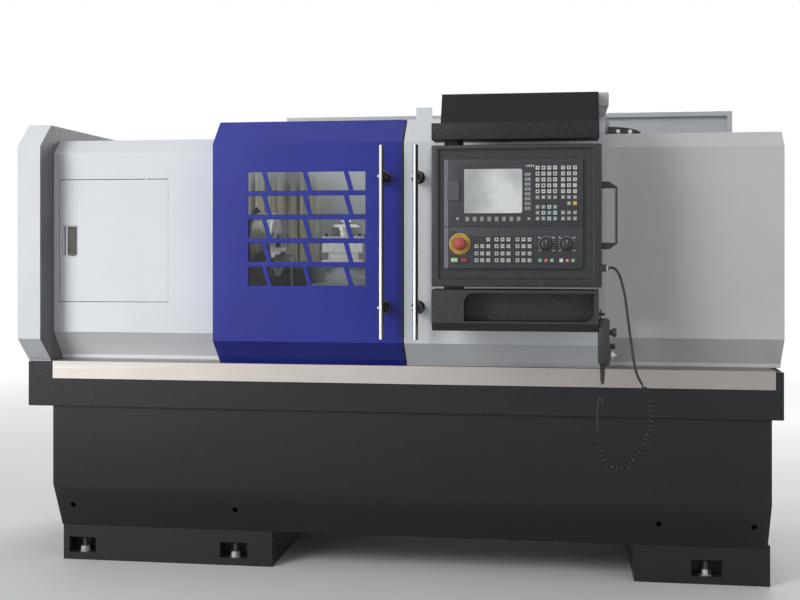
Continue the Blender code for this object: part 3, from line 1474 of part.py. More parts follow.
def build_arm():
    plate_bottom = GUARD_TOP + GAP
    plate_top = plate_bottom + ARM_PLATE_THICKNESS
    front = ARM_POST_FRONT - 0.010
    mount = box(
        "arm_mount",
        (ARM_PLATE[0], front, plate_bottom),
        (ARM_PLATE[1], front + ARM_PLATE_DEPTH, plate_top),
    )
    rise = ARM_FIN_RISE
    span = ARM_PLATE[1] - ARM_RIGHT - 0.010
    fin = [(ARM_PLATE[1], plate_top - 0.003)]
    for x, z in arc((0, 0), 1.0, 0, 90, 8):
        fin.append((ARM_PLATE[1] - span + span * x, plate_top - 0.003 + (rise + 0.003) * z))
    fin.append((ARM_PLATE[1] - span, plate_top - 0.003))
    join(mount, plate("arm_fin", fin[1:], "Y", front, front + ARM_PLATE_THICKNESS))
    paint(mount, BLACK, 0.4)
    beam_front = PANEL_BACK - HOOD_EDGE / 2 + GAP
    post_back = ARM_POST_FRONT + ARM_POST_DEPTH
    arm = box(
        "pendant_arm", (ARM_LEFT, beam_front, ARM_BOTTOM), (ARM_RIGHT, post_back, ARM_TOP), bevel=0.003
    )
    foot = plate_top + GAP
    post = box("arm_post", (ARM_LEFT, ARM_POST_FRONT, foot), (ARM_RIGHT, post_back, ARM_BOTTOM + 0.02))
    gusset_outline = [
        (ARM_RIGHT - 0.004, foot),
        (ARM_RIGHT + ARM_GUSSET_REACH, foot),
        (ARM_RIGHT - 0.004, ARM_TOP - 0.012),
    ]
    gusset_front = ARM_POST_FRONT + 0.012
    gusset = plate("arm_gusset", gusset_outline, "Y", gusset_front, gusset_front + 0.005)
    join(arm, post, gusset)
    paint(arm, LIGHT_GREY, 0.4)


def build_hood():
    hood = box(
        "pendant_hood",
        (PANEL_LEFT, PANEL_FRONT, HOOD_BOTTOM),
        (HOOD_RIGHT, PANEL_BACK, HOOD_SHOULDER),
        bevel=0.002,
    )
    top = HOOD_SHOULDER + HOOD_TOP_HEIGHT
    back = PANEL_BACK - HOOD_EDGE / 2
    outline = [
        (back, HOOD_SHOULDER - 0.01),
        (back, top),
        (PANEL_FRONT + HOOD_SLOPE, top),
        (PANEL_FRONT + HOOD_EDGE, HOOD_SHOULDER - 0.01),
    ]
    join(hood, plate("hood_top", outline, "X", HOOD_TOP_LEFT, HOOD_RIGHT - HOOD_EDGE / 4))
    hub = turned(
        "hood_hub",
        (PANEL_HUB_X, PANEL_MID, PANEL_TOP + GAP),
        [
            (0, HUB_GAP + 0.01),
            (HUB_RADIUS, HUB_GAP + 0.01),
            (HUB_RADIUS, 0),
            (HUB_PIN_RADIUS, 0),
            (HUB_PIN_RADIUS, -HUB_PIN_LENGTH),
            (0, -HUB_PIN_LENGTH),
        ],
        "Z",
        SMALL_STEPS,
    )
    join(hood, hub)
    paint(hood, PANEL_GREY, 0.55)


def build_panel_box():
    panel = box(
        "pendant_box",
        (PANEL_LEFT, PANEL_FRONT, PANEL_BOTTOM),
        (PANEL_RIGHT, PANEL_BACK, PANEL_TOP),
        bevel=0.004,
        origin=(PANEL_HUB_X, PANEL_MID, PANEL_TOP),
    )
    bezel = box(
        "bezel_recess",
        (BEZEL_LEFT, PANEL_FRONT - OVERCUT, BEZEL_BOTTOM),
        (BEZEL_RIGHT, BEZEL_FLOOR, BEZEL_TOP),
    )
    pin_hole = rod(
        "hub_hole",
        (PANEL_HUB_X, PANEL_MID, PANEL_TOP - HUB_PIN_LENGTH - 0.004),
        HUB_PIN_LENGTH + OVERCUT,
        HUB_PIN_RADIUS + RUNNING_CLEARANCE,
        "Z",
        SMALL_STEPS,
    )
    cut(panel, bezel, pin_hole)
    paint(panel, PANEL_GREY, 0.55)


def pocket_outline():
    """The storage opening in (x, z), round at the top left and the bottom right."""
    left, low, right, top = POCKET
    corner = POCKET_CORNER
    outline = [(left, low)]
    outline += arc((right - corner, low + corner), corner, -90, 0, 6)
    outline.append((right, top))
    outline += arc((left + corner, top - corner), corner, 90, 180, 6)
    return outline


def build_storage_box():
    profile = [
        (PANEL_BACK, STORE_BOTTOM),
        (PANEL_BACK, STORE_TOP),
        (PANEL_FRONT, STORE_TOP),
        (PANEL_FRONT, STORE_BOTTOM + STORE_CHAMFER),
        (PANEL_FRONT + STORE_CHAMFER, STORE_BOTTOM),
    ]
    store = plate("storage_box", profile, "X", PANEL_LEFT, STORE_RIGHT)
    opening = plate(
        "storage_opening", pocket_outline(), "Y", PANEL_FRONT - OVERCUT, PANEL_FRONT + STORE_DEPTH
    )
    cut(store, opening)
    spacer = box(
        "store_spacer",
        (PANEL_HUB_X - HUB_RADIUS, PANEL_FRONT + 0.030, STORE_TOP - 0.005),
        (PANEL_HUB_X + HUB_RADIUS, PANEL_BACK - 0.010, PANEL_BOTTOM - GAP),
    )
    peg_z = UNIT_BODY[3] + HOOK_RISE / 2
    peg = rod("unit_peg", (STORE_RIGHT - 0.005, UNIT_Y, peg_z), PEG_LENGTH + 0.005, PEG_RADIUS, "X", 12)
    join(store, spacer, peg)
    paint(store, PANEL_GREY, 0.55)


def key_mesh(name, places):
    """One box for each key, at (x, z) places on the keypad's front."""
    half = KEY_SIZE / 2
    outlines = []
    for x, z in places:
        low = z - half
        high = z + half
        outlines.append([(x - half, low), (x + half, low), (x + half, high), (x - half, high)])
    return plates(name, outlines, "Y", KEYPAD_FRONT + KEYPAD_SHEET / 2, KEYPAD_FRONT - KEY_HEIGHT)


def upper_key_places():
    """Centres of the display's keys in (x, z): six full rows, two keys, and the rows round the arrows."""
    letters = [LETTER_X + column * LETTER_PITCH for column in range(LETTER_COUNT)]
    numbers = [NUMBER_X + column * KEY_PITCH for column in range(NUMBER_COUNT)]
    places = []
    for row in range(UPPER_ROWS):
        places += [(x, TOP_ROW - row * KEY_PITCH) for x in letters + numbers]
    places += [(x, TOP_ROW - UPPER_ROWS * KEY_PITCH) for x in numbers[1:]]
    for row in range(ARROW_ROWS):
        places += [(x, ARROW_ROW - row * LETTER_PITCH) for x in letters]
    for row in range(1, ARROW_ROWS):
        places += [(x, ARROW_ROW - row * KEY_PITCH) for x in numbers]
    return places


def lower_key_places():
    """Centres of the control panel's keys in (x, z): three blocks, and two groups of coloured keys."""
    rows = [PANEL_TOP_ROW - drop for drop in PANEL_ROW_DROPS]
    steps = [column * PANEL_COLUMN_PITCH for column in range(3)]
    places = [(LEFT_KEYS + step, z) for z in rows[1:] for step in steps]
    places.append((LEFT_KEYS + steps[-1], rows[0]))
    for left in (MIDDLE_KEYS, RIGHT_KEYS):
        places += [(left + step, z) for z in rows for step in steps]
    for left in COLOUR_KEYS:
        places += [(left + step, rows[-1]) for step in steps]
    return places


def build_display():
    unit = box(
        "display_unit",
        (UNIT_LEFT, UNIT_FRONT, DISPLAY_BOTTOM),
        (UNIT_RIGHT, BEZEL_FLOOR - GAP, DISPLAY_TOP),
        bevel=0.0015,
    )
    left, low, right, top = SCREEN
    recess = box(
        "screen_recess",
        (left, UNIT_FRONT - OVERCUT, low),
        (right, UNIT_FRONT + SCREEN_RECESS, top),
    )
    cut(unit, recess)
    wide, high = SOFT_KEY_SIZE
    side_wide, side_high = SIDE_KEY_SIZE
    key_front = UNIT_FRONT - SOFT_KEY_RISE
    key_back = UNIT_FRONT + SCREEN_RECESS / 2
    key_low = low - wide / 2 - 0.016
    side_left = right + side_wide / 2
    for index in range(SOFT_KEYS):
        x = left + (index + 0.5) * (right - left) / SOFT_KEYS
        button = box(
            f"soft_key_{index + 1}",
            (x - wide / 2, key_front, key_low),
            (x + wide / 2, key_back, key_low + high),
        )
        z = low + side_wide - 0.0013 + index * SIDE_KEY_PITCH
        side = box(
            f"side_key_{index + 1}",
            (side_left, key_front, z - side_high / 2),
            (side_left + side_wide, key_back, z + side_high / 2),
        )
        join(unit, button, side)
    paint(unit, UNIT_GREY, 0.45)
    screen = box(
        "display_screen",
        (left + GAP, UNIT_FRONT + 0.001, low + GAP),
        (right - GAP, UNIT_FRONT + SCREEN_RECESS - GAP, top - GAP),
    )
    paint(screen, (0.01, 0.012, 0.014), 0.08)
    places = upper_key_places()
    keys = box(
        "upper_keys",
        (LETTER_X - KEY_MARGIN, KEYPAD_FRONT, min(z for _, z in places) - KEY_MARGIN),
        (max(x for x, _ in places) + KEY_MARGIN, UNIT_FRONT - GAP, TOP_ROW + KEY_MARGIN),
    )
    join(keys, key_mesh("upper_key_tops", places))
    paint(keys, (0.62, 0.62, 0.60), 0.5)


def build_control_panel():
    top = DISPLAY_BOTTOM - GAP
    unit = box(
        "control_panel",
        (UNIT_LEFT, UNIT_FRONT, CONTROL_BOTTOM),
        (UNIT_RIGHT, BEZEL_FLOOR - GAP, top),
        bevel=0.0015,
    )
    x, z = STOP_CENTRE
    collar_top = 0.002
    collar = rod(
        "stop_collar", (x, UNIT_FRONT + 0.002, z), collar_top + 0.002, STOP_COLLAR_RADIUS, "Y"
    )
    join(unit, collar)
    stem_hole = rod(
        "stop_hole", (x, UNIT_FRONT + 0.006, z), 0.030, STOP_STEM_RADIUS + RUNNING_CLEARANCE, "Y", SMALL_STEPS
    )
    cut(unit, stem_hole)
    width, height = PUSH_BUTTON_SIZE
    for name, middle in PUSH_BUTTONS.items():
        hole = box(
            name + "_hole",
            (middle - width / 2 - GAP, UNIT_FRONT - OVERCUT, PUSH_BUTTON_Z - height / 2 - GAP),
            (middle + width / 2 + GAP, UNIT_FRONT + 0.007, PUSH_BUTTON_Z + height / 2 + GAP),
        )
        cut(unit, hole)
    paint(unit, UNIT_GREY, 0.45)
    places = lower_key_places()
    left = LEFT_KEYS - KEY_MARGIN
    block_right = RIGHT_KEYS + 2 * PANEL_COLUMN_PITCH + KEY_MARGIN
    right = max(x for x, _ in places) + KEY_MARGIN
    low = min(z for _, z in places) - KEY_MARGIN
    step = low + 2 * KEY_MARGIN
    high = PANEL_TOP_ROW + KEY_MARGIN
    pad = [
        (left, low),
        (right, low),
        (right, step),
        (block_right, step),
        (block_right, high),
        (left, high),
    ]
    keys = plate("lower_keys", pad, "Y", UNIT_FRONT - GAP, KEYPAD_FRONT)
    join(keys, key_mesh("lower_key_tops", places))
    paint(keys, (0.62, 0.62, 0.60), 0.5)
    build_buttons(collar_top)


def build_buttons(collar_top):
    x, z = STOP_CENTRE
    reach = UNIT_FRONT - (-DEPTH / 2)
    neck = collar_top + STOP_TRAVEL + 0.001
    radius = STOP_BUTTON_RADIUS
    profile = [
        (0, reach),
        (radius * 0.55, reach - 0.0015),
        (radius - 0.003, reach - 0.005),
        (radius, reach - 0.010),
        (radius, neck + 0.002),
        (radius - 0.002, neck),
        (STOP_STEM_RADIUS, neck),
        (STOP_STEM_RADIUS, 0),
        (0, 0),
    ]
    stop = turned("emergency_stop", (x, UNIT_FRONT, z), profile, "Y", ROUND_STEPS)
    paint(stop, (0.60, 0.02, 0.02), 0.35)
    width, height = PUSH_BUTTON_SIZE
    colours = {"start_button": (0.05, 0.50, 0.12), "stop_button": (0.60, 0.05, 0.04)}
    for name, middle in PUSH_BUTTONS.items():
        button = box(
            name,
            (middle - width / 2, UNIT_FRONT - PUSH_BUTTON_HEIGHT, PUSH_BUTTON_Z - height / 2),
            (middle + width / 2, UNIT_FRONT + 0.003, PUSH_BUTTON_Z + height / 2),
            bevel=0.0015,
        )
        paint(button, colours[name], 0.4)
    for name, middle in KNOBS.items():
        build_knob(name, middle)


def build_knob(name, x):
    radius = KNOB_RADIUS
    foot = GAP
    profile = [
        (0, KNOB_HEIGHT),
        (radius - 0.006, KNOB_HEIGHT),
        (radius - 0.004, KNOB_HEIGHT - 0.002),
        (radius - 0.002, foot + 0.004),
        (radius, foot + 0.003),
        (radius, foot),
        (0, foot),
    ]
    knob = turned(name, (x, UNIT_FRONT, KNOB_Z), profile, "Y", SMALL_STEPS)
    pointer = box(
        name + "_grip",
        (x - 0.003, UNIT_FRONT - KNOB_HEIGHT - 0.004, KNOB_Z - radius + 0.005),
        (x + 0.003, UNIT_FRONT - KNOB_HEIGHT + 0.003, KNOB_Z + radius - 0.005),
    )
    join(knob, pointer)
    paint(knob, BLACK, 0.45)


def build_grip():
    low, high = GRIP_HEIGHTS
    start = PANEL_RIGHT + GAP
    outer = start + GRIP_REACH
    inner = outer - GRIP_THICKNESS
    outline = [
        (start, high),
        (start + GRIP_FOOT, high),
        (outer, high - GRIP_SHOULDER),
        (outer, low + GRIP_SHOULDER),
        (start + GRIP_FOOT, low),
        (start, low),
        (start, low + GRIP_ARM),
        (inner, low + GRIP_ARM),
        (inner, high - GRIP_ARM),
        (start, high - GRIP_ARM),
    ]
    grip = plate("pendant_grip", outline, "Y", PANEL_MID - GRIP_HALF_DEPTH, PANEL_MID + GRIP_HALF_DEPTH)
    paint(grip, BLACK, 0.4)
    gland = turned(
        "cable_gland",
        (PANEL_RIGHT + GAP, UNIT_Y, GLAND_Z),
        [
            (0, GLAND_LENGTH),
            (GLAND_RADIUS * 0.62, GLAND_LENGTH),
            (GLAND_RADIUS * 0.8, GLAND_LENGTH - 0.007),
            (GLAND_RADIUS, GLAND_LENGTH - 0.009),
            (GLAND_RADIUS, 0),
            (0, 0),
        ],
        "X",
        12,
    )
    paint(gland, STEEL, 0.4, 0.6)


def build_hand_unit():
    left, low, right, top = UNIT_BODY
    body = box(
        "hand_unit_body",
        (left, UNIT_Y - UNIT_HALF_DEPTH, low),
        (right, UNIT_Y + UNIT_HALF_DEPTH, top),
        bevel=0.004,
    )
    hook_left = left + 0.004
    hook_half = 0.014
    hook_outline = [
        (UNIT_Y - hook_half, top - 0.004),
        (UNIT_Y + hook_half, top - 0.004),
    ]
    hook_outline += arc((UNIT_Y, top + HOOK_RISE - hook_half), hook_half, 0, 180, 8)
    hook = plate("unit_hook", hook_outline, "X", hook_left, hook_left + HOOK_THICKNESS)
    peg_z = top + HOOK_RISE / 2
    hole_start = (hook_left - OVERCUT, UNIT_Y, peg_z)
    hole = rod("hook_hole", hole_start, HOOK_THICKNESS + 2 * OVERCUT, HOOK_HOLE_RADIUS, "X", 12)
    relief_x = (left + right) / 2 - 0.004
    profile = [(0, 0.004)]
    rings = 6
    for index in range(rings):
        start = 0.004 - index * RELIEF_LENGTH / rings
        radius = RELIEF_RADIUS * (1 - 0.05 * index)
        profile += [(radius, start), (radius, start - 0.006), (radius - RELIEF_GROOVE, start - 0.0075)]
    profile += [(THIN_RADIUS + 0.002, -RELIEF_LENGTH), (0, -RELIEF_LENGTH)]
    relief = turned("strain_relief", (relief_x, UNIT_Y, low), profile, "Z", 12)
    join(body, hook, relief)
    cut(body, hole)
    for index, z in enumerate(SELECTOR_HEIGHTS):
        y = UNIT_Y + (index - 0.5) * 0.040
        selector = rod(f"selector_{index + 1}", (right - 0.002, y, z), 0.020, SELECTOR_RADIUS, "X", 12)
        join(body, selector)
    paint(body, BLACK, 0.5)
    wheel_profile = [
        (0, WHEEL_THICKNESS),
        (WHEEL_RADIUS * 0.8, WHEEL_THICKNESS),
        (WHEEL_RADIUS, WHEEL_THICKNESS - 0.003),
        (WHEEL_RADIUS, 0.003),
        (WHEEL_RADIUS * 0.9, 0),
        (0, 0),
    ]
    wheel = turned("hand_wheel", (right + GAP, UNIT_Y, WHEEL_Z), wheel_profile, "X", SMALL_STEPS)
    paint(wheel, (0.55, 0.56, 0.58), 0.3, 0.8)
    return (relief_x, low - RELIEF_LENGTH)


def smooth_route(points):
    """Fine points on a smooth curve through the given ones, with the length up to each."""
    padded = [points[0] * 2 - points[1]] + points + [points[-1] * 2 - points[-2]]
    fine = [points[0]]
    for i in range(1, len(padded) - 2):
        a, b, c, d = padded[i - 1 : i + 3]
        for step in range(1, 25):
            t = step / 24
            cubic = (
                2 * b
                + (c - a) * t
                + (2 * a - 5 * b + 4 * c - d) * t * t
                + (3 * b - a - 3 * c + d) * t * t * t
            )
            fine.append(cubic / 2)
    lengths = [0.0]
    for a, b in zip(fine, fine[1:]):
        lengths.append(lengths[-1] + (b - a).length)
    return fine, lengths


def stretch(route, start, end, spacing):
    """Points of the route between two lengths along it, evenly spaced, with short square ends."""
    fine, lengths = route
    count = max(2, round((end - start) / spacing))
    places = [start, start + CORD_END]
    places += [start + (end - start) * i / count for i in range(1, count)]
    places += [end - CORD_END, end]
    points = []
    for wanted in places:
        j = next(k for k in range(1, len(lengths)) if lengths[k] >= wanted - 1e-9)
        share = (wanted - lengths[j - 1]) / (lengths[j] - lengths[j - 1])
        points.append(fine[j - 1].lerp(fine[j], share))
    return points


def build_cable(relief_end):
    gland_end = PANEL_RIGHT + GAP + GLAND_LENGTH
    points = [(gland_end + GAP, GLAND_Z), (gland_end + 0.014, GLAND_Z)]
    points += [(PANEL_RIGHT + x, PANEL_BOTTOM + z) for x, z in CABLE_ROUTE]
    points += [(relief_end[0], relief_end[1] - 0.020), (relief_end[0], relief_end[1] - GAP)]
    points = [Vector((x, UNIT_Y, z)) for x, z in points]
    route = smooth_route(points)
    whole = route[1][-1]
    lead_end = whole * LEAD_SHARE
    curl_end = whole * CURL_SHARE
    pieces = (
        ("pendant_lead", GAP, lead_end, LEAD_RADIUS, 2.5),
        ("curly_cord", lead_end + 2 * GAP, curl_end, CURL_RADIUS, 1.2),
        ("hand_lead", curl_end + 2 * GAP, whole - 2 * GAP, THIN_RADIUS, 3.0),
    )
    for name, start, end, radius, pitch in pieces:
        cable = tube(name, stretch(route, start, end, pitch * 2 * radius), radius)
        paint(cable, (0.015, 0.015, 0.016), 0.5)


clear_scene()
MACHINE, CUTTERS = make_collections()
build_base()
build_tray()
build_end_cover()
build_headstock_cover()
build_access_door()
build_right_guard()
build_rear_guard()
build_doors()
build_bed()
build_headstock()
build_chuck()
build_motor()
build_cabinet()
build_carriage()
build_tailstock()
build_arm()
build_hood()
build_panel_box()
build_storage_box()
build_display()
build_control_panel()
build_grip()
build_cable(build_hand_unit())
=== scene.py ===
"""Looks of the CNC turning lathe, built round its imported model.

Metres, +X to the right along the bed, +Y to the back, +Z up.
"""

import math

import bmesh
import bpy
from mathutils import Matrix, Vector


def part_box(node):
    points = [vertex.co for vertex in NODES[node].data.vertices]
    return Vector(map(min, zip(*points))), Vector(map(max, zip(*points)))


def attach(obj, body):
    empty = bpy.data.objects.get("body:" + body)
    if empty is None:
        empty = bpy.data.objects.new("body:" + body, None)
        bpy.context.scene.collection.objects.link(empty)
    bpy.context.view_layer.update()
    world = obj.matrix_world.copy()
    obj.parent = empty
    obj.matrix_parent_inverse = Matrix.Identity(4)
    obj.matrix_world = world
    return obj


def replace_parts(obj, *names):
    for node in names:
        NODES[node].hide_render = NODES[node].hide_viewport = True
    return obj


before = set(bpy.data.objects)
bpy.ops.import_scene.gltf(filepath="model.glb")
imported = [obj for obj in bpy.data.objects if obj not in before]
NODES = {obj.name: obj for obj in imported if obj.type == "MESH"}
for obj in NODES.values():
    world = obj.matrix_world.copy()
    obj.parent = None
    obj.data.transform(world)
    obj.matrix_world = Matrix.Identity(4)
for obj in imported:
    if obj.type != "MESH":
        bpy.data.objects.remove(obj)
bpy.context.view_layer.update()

TURN = 2 * math.pi
SMOOTH_ANGLE = math.radians(32)
RINGS_PER_METRE = 420

# Planes and points of the model that pieces are set on: a depth is along Y
PANEL_FRONT = -0.615
PANEL_MID = -0.560
PANEL_BACK = -0.505
UNIT_FRONT = -0.6193
KEY_FRONT = -0.6222
STOP_CENTRE = (0.2659, 1.1387)
GLAND_Z = 1.064
WHEEL_Z = 0.7954
SPINDLE_Y = 0.137
SPINDLE_Z = 1.1346
BED_TOP = 0.8796


# Materials

PAINTS = {}


class Paint:
    """One node material, built in small steps. Sizes are in metres in the model's frame."""

    def __init__(self, name, colour, roughness, metallic=0.0):
        PAINTS[name] = self
        self.material = bpy.data.materials.new(name)
        self.material.use_nodes = True
        self.tree = self.material.node_tree
        self.shader = self.tree.nodes["Principled BSDF"]
        self.place = self.add("ShaderNodeTexCoord").outputs["Object"]
        self.set("Base Color", (*colour, 1.0))
        self.set("Roughness", roughness)
        self.set("Metallic", metallic)

    def add(self, kind, inputs=None, **settings):
        """A node with its settings, and with values or links on its inputs."""
        node = self.tree.nodes.new(kind)
        for key, value in settings.items():
            setattr(node, key, value)
        for key, value in (inputs or {}).items():
            self.feed(node.inputs[key], value)
        return node

    def feed(self, socket, value):
        if isinstance(value, bpy.types.NodeSocket):
            self.tree.links.new(value, socket)
        elif isinstance(value, tuple) and len(value) == 3 and socket.type == "RGBA":
            socket.default_value = (*value, 1.0)
        else:
            socket.default_value = value

    def dull(self, level):
        """Lowers the shader's mirror reflection."""
        return self.set("Specular IOR Level", level)

    def set(self, name, value):
        self.feed(self.shader.inputs[name], value)
        return self

    def over(self, share, colour):
        """Lays a colour over the base colour, where a share says so."""
        below = self.shader.inputs["Base Color"].links[0].from_socket
        return self.set("Base Color", self.mix(share, below, colour))

    def noise(self, scale, detail, stretch=None, roughness=0.5):
        """Cloudy noise; a stretch gives each axis a scale of its own."""
        vector = self.place
        if stretch:
            vector = self.add("ShaderNodeMapping", {"Vector": vector, "Scale": stretch}).outputs[0]
        inputs = {"Vector": vector, "Scale": float(scale)}
        inputs.update({"Detail": float(detail), "Roughness": roughness})
        return self.add("ShaderNodeTexNoise", inputs).outputs["Fac"]

    def cells(self, scale):
        inputs = {"Vector": self.place, "Scale": float(scale)}
        return self.add("ShaderNodeTexVoronoi", inputs, feature="SMOOTH_F1").outputs["Distance"]

    def spread(self, value, low, high, new_low=0.0, new_high=1.0):
        """Carries a value from one range to another, without leaving it."""
        inputs = {"Value": value, "From Min": low, "From Max": high}
        inputs.update({"To Min": new_low, "To Max": new_high})
        return self.add("ShaderNodeMapRange", inputs).outputs["Result"]

    def patches(self, scale, detail, *limits):
        """Noise, spread between limits."""
        return self.spread(self.noise(scale, detail), *limits)

    def ramp(self, axis, *limits):
        """A share that changes along an axis, between limits."""
        return self.spread(self.along(axis), *limits)

    def mix(self, share, first, second):
        inputs = {"Factor": share, 6: first, 7: second}
        return self.add("ShaderNodeMix", inputs, data_type="RGBA").outputs[2]

    def maths(self, operation, first, second=0.0):
        return self.add("ShaderNodeMath", {0: first, 1: second}, operation=operation).outputs[0]

    def vector_maths(self, operation, *vectors):
        inputs = dict(enumerate(vectors))
        return self.add("ShaderNodeVectorMath", inputs, operation=operation).outputs

    def along(self, axis):
        return self.add("ShaderNodeSeparateXYZ", {0: self.place}).outputs[axis]

    def facing(self, axis):
        """The share of the surface's normal that runs along an axis, at rest."""
        normal = self.add("ShaderNodeTexCoord").outputs["Normal"]
        return self.add("ShaderNodeSeparateXYZ", {0: normal}).outputs[axis]

    def far_from(self, point, flat_axis=None):
        """Distance of a surface point from a point, or from a line along an axis through it."""
        shifted = self.vector_maths("SUBTRACT", self.place, point)[0]
        kept = [0.0 if name == flat_axis else 1.0 for name in "XYZ"]
        flat = self.vector_maths("MULTIPLY", shifted, kept)[0]
        return self.vector_maths("LENGTH", flat)["Value"]

    def bump(self, height, distance, strength=1.0):
        inputs = {"Height": height, "Distance": distance, "Strength": strength}
        normal = self.shader.inputs["Normal"]
        if normal.is_linked:
            inputs["Normal"] = normal.links[0].from_socket
        self.feed(normal, self.add("ShaderNodeBump", inputs).outputs["Normal"])
        return self


def shade(colour, factor):
    return tuple(min(1.0, channel * factor) for channel in colour)


def enamel(name, colour, roughness=0.32, peel=0.00012, cloud=0.05, coat=0.12, tint=None):
    """Sprayed sheet metal: faint clouding, orange peel, dust and small rubs."""
    paint = Paint(name, colour, roughness)
    cloud_share = paint.patches(2.6, 4, 0.32, 0.68)
    base = paint.mix(cloud_share, shade(colour, 1 - cloud), tint or shade(colour, 1 + cloud))
    specks = paint.patches(140, 3, 0.66, 0.78, 0.0, 0.35)
    base = paint.mix(specks, base, shade(colour, 0.84))
    paint.set("Base Color", base)
    smears = paint.noise(14, 6, (1.0, 1.0, 0.25), 0.7)
    paint.set("Roughness", paint.spread(smears, 0.1, 0.9, roughness - 0.04, roughness + 0.08))
    paint.set("Coat Weight", coat)
    paint.set("Coat Roughness", 0.18)
    paint.bump(paint.noise(420, 2), peel, 0.7)
    return paint


def pebble(name, colour, grain=330, depth=0.00045, roughness=0.52, contrast=0.40, glint_gain=3.4):
    """Textured powder coat: rounded grains, with painted highlights on the crowns of some of them.
    """
    paint = Paint(name, colour, roughness)
    grains = paint.spread(paint.cells(grain), 0.05, 0.62)
    patch = paint.patches(grain * 0.35, 3, 0.35, 0.65)
    mixed = paint.maths("MULTIPLY", grains, patch)
    base = paint.mix(mixed, shade(colour, 1 - contrast), shade(colour, 1 + contrast))
    # Painted highlights: bright flecks for light catching the crowns of grains.
    painted_glints = paint.patches(grain * 0.9, 2, 0.58, 0.68, 0.0, 0.9)
    base = paint.mix(painted_glints, base, shade(colour, glint_gain))
    clouds = paint.patches(5, 3, 0.35, 0.65, 0.0, 0.22)
    paint.set("Base Color", paint.mix(clouds, base, shade(colour, 1.25)))
    paint.set("Roughness", paint.spread(grains, 0.0, 1.0, roughness + 0.14, roughness - 0.10))
    paint.bump(grains, depth, 0.8)
    return paint


def cast(name, colour, roughness=0.55):
    """Painted casting: shallow sand texture under thick paint."""
    paint = Paint(name, colour, roughness)
    patch = paint.patches(7, 5, 0.3, 0.7)
    base = paint.mix(patch, shade(colour, 0.88), shade(colour, 1.08))
    oil = paint.patches(3.5, 6, 0.55, 0.75, 0.0, 0.5)
    paint.set("Base Color", paint.mix(oil, base, shade(colour, 0.72)))
    paint.set("Roughness", paint.spread(patch, 0.0, 1.0, roughness - 0.08, roughness + 0.1))
    paint.bump(paint.noise(230, 4), 0.0004, 0.6)
    paint.bump(paint.noise(38, 3), 0.0009, 0.5)
    return paint


def brushed(name, colour, axis="X", roughness=0.3, depth=0.00004, stain=0.12):
    """Ground or brushed metal, its lines running along an axis."""
    paint = Paint(name, colour, roughness, 1.0)
    lines = paint.noise(1.0, 3, tuple(7.0 if name == axis else 900.0 for name in "XYZ"))
    bands = paint.noise(1.0, 2, tuple(2.0 if name == axis else 60.0 for name in "XYZ"))
    patch = paint.patches(4, 5, 0.35, 0.7)
    base = paint.mix(paint.spread(lines, 0.3, 0.7), shade(colour, 0.90), shade(colour, 1.06))
    base = paint.mix(paint.maths("MULTIPLY", patch, stain * 2), base, shade(colour, 0.78))
    paint.set("Base Color", base)
    rough = paint.maths("ADD", paint.spread(lines, 0.2, 0.8, -0.05, 0.07), roughness)
    paint.set("Roughness", paint.maths("ADD", rough, paint.spread(bands, 0.3, 0.7, -0.03, 0.05)))
    paint.bump(lines, depth, 0.6)
    return paint


def turned_metal(name, colour, centre, axis, roughness=0.26):
    """Lathe-turned metal: fine rings round an axis through a centre."""
    paint = Paint(name, colour, roughness, 1.0)
    radius = paint.far_from(centre, axis)
    rings = paint.maths("SINE", paint.maths("MULTIPLY", radius, TURN * RINGS_PER_METRE))
    along = paint.maths("MULTIPLY", paint.along("XYZ".index(axis)), TURN * RINGS_PER_METRE)
    along = paint.maths("SINE", along)
    marks = paint.maths("MULTIPLY", paint.maths("ADD", rings, along), 0.5)
    grime = paint.patches(26, 5, 0.4, 0.7)
    base = paint.mix(grime, shade(colour, 1.03), shade(colour, 0.92))
    paint.set("Base Color", base)
    paint.set("Roughness", paint.spread(grime, 0.0, 1.0, roughness - 0.02, roughness + 0.05))
    paint.bump(marks, 0.00003, 0.6)
    return paint


def plastic(name, colour, roughness=0.42, grain=1400, depth=0.00005):
    """Moulded plastic with a fine spark-eroded texture."""
    paint = Paint(name, colour, roughness)
    patch = paint.patches(30, 3, 0.3, 0.7)
    paint.set("Base Color", paint.mix(patch, shade(colour, 0.94), shade(colour, 1.06)))
    paint.set("Roughness", paint.patches(55, 4, 0.3, 0.7, roughness - 0.05, roughness + 0.08))
    paint.bump(paint.noise(grain, 2), depth, 0.7)
    return paint


def rubber(name, colour=(0.012, 0.012, 0.013), roughness=0.62):
    paint = Paint(name, colour, roughness)
    dust = paint.patches(60, 4, 0.45, 0.75, 0.0, 0.5)
    paint.set("Base Color", paint.mix(dust, colour, shade(colour, 2.6)))
    paint.set("Roughness", paint.spread(dust, 0.0, 0.5, roughness - 0.05, roughness + 0.12))
    paint.bump(paint.noise(900, 3), 0.00008, 0.6)
    return paint


def window_glass(name):
    paint = Paint(name, (0.90, 0.94, 0.94), 0.03)
    paint.set("Transmission Weight", 1.0)
    paint.set("IOR", 1.28)
    smears = paint.spread(paint.noise(11, 5, (1.0, 1.0, 0.3)), 0.45, 0.75, 0.02, 0.10)
    paint.set("Roughness", smears)
    return paint


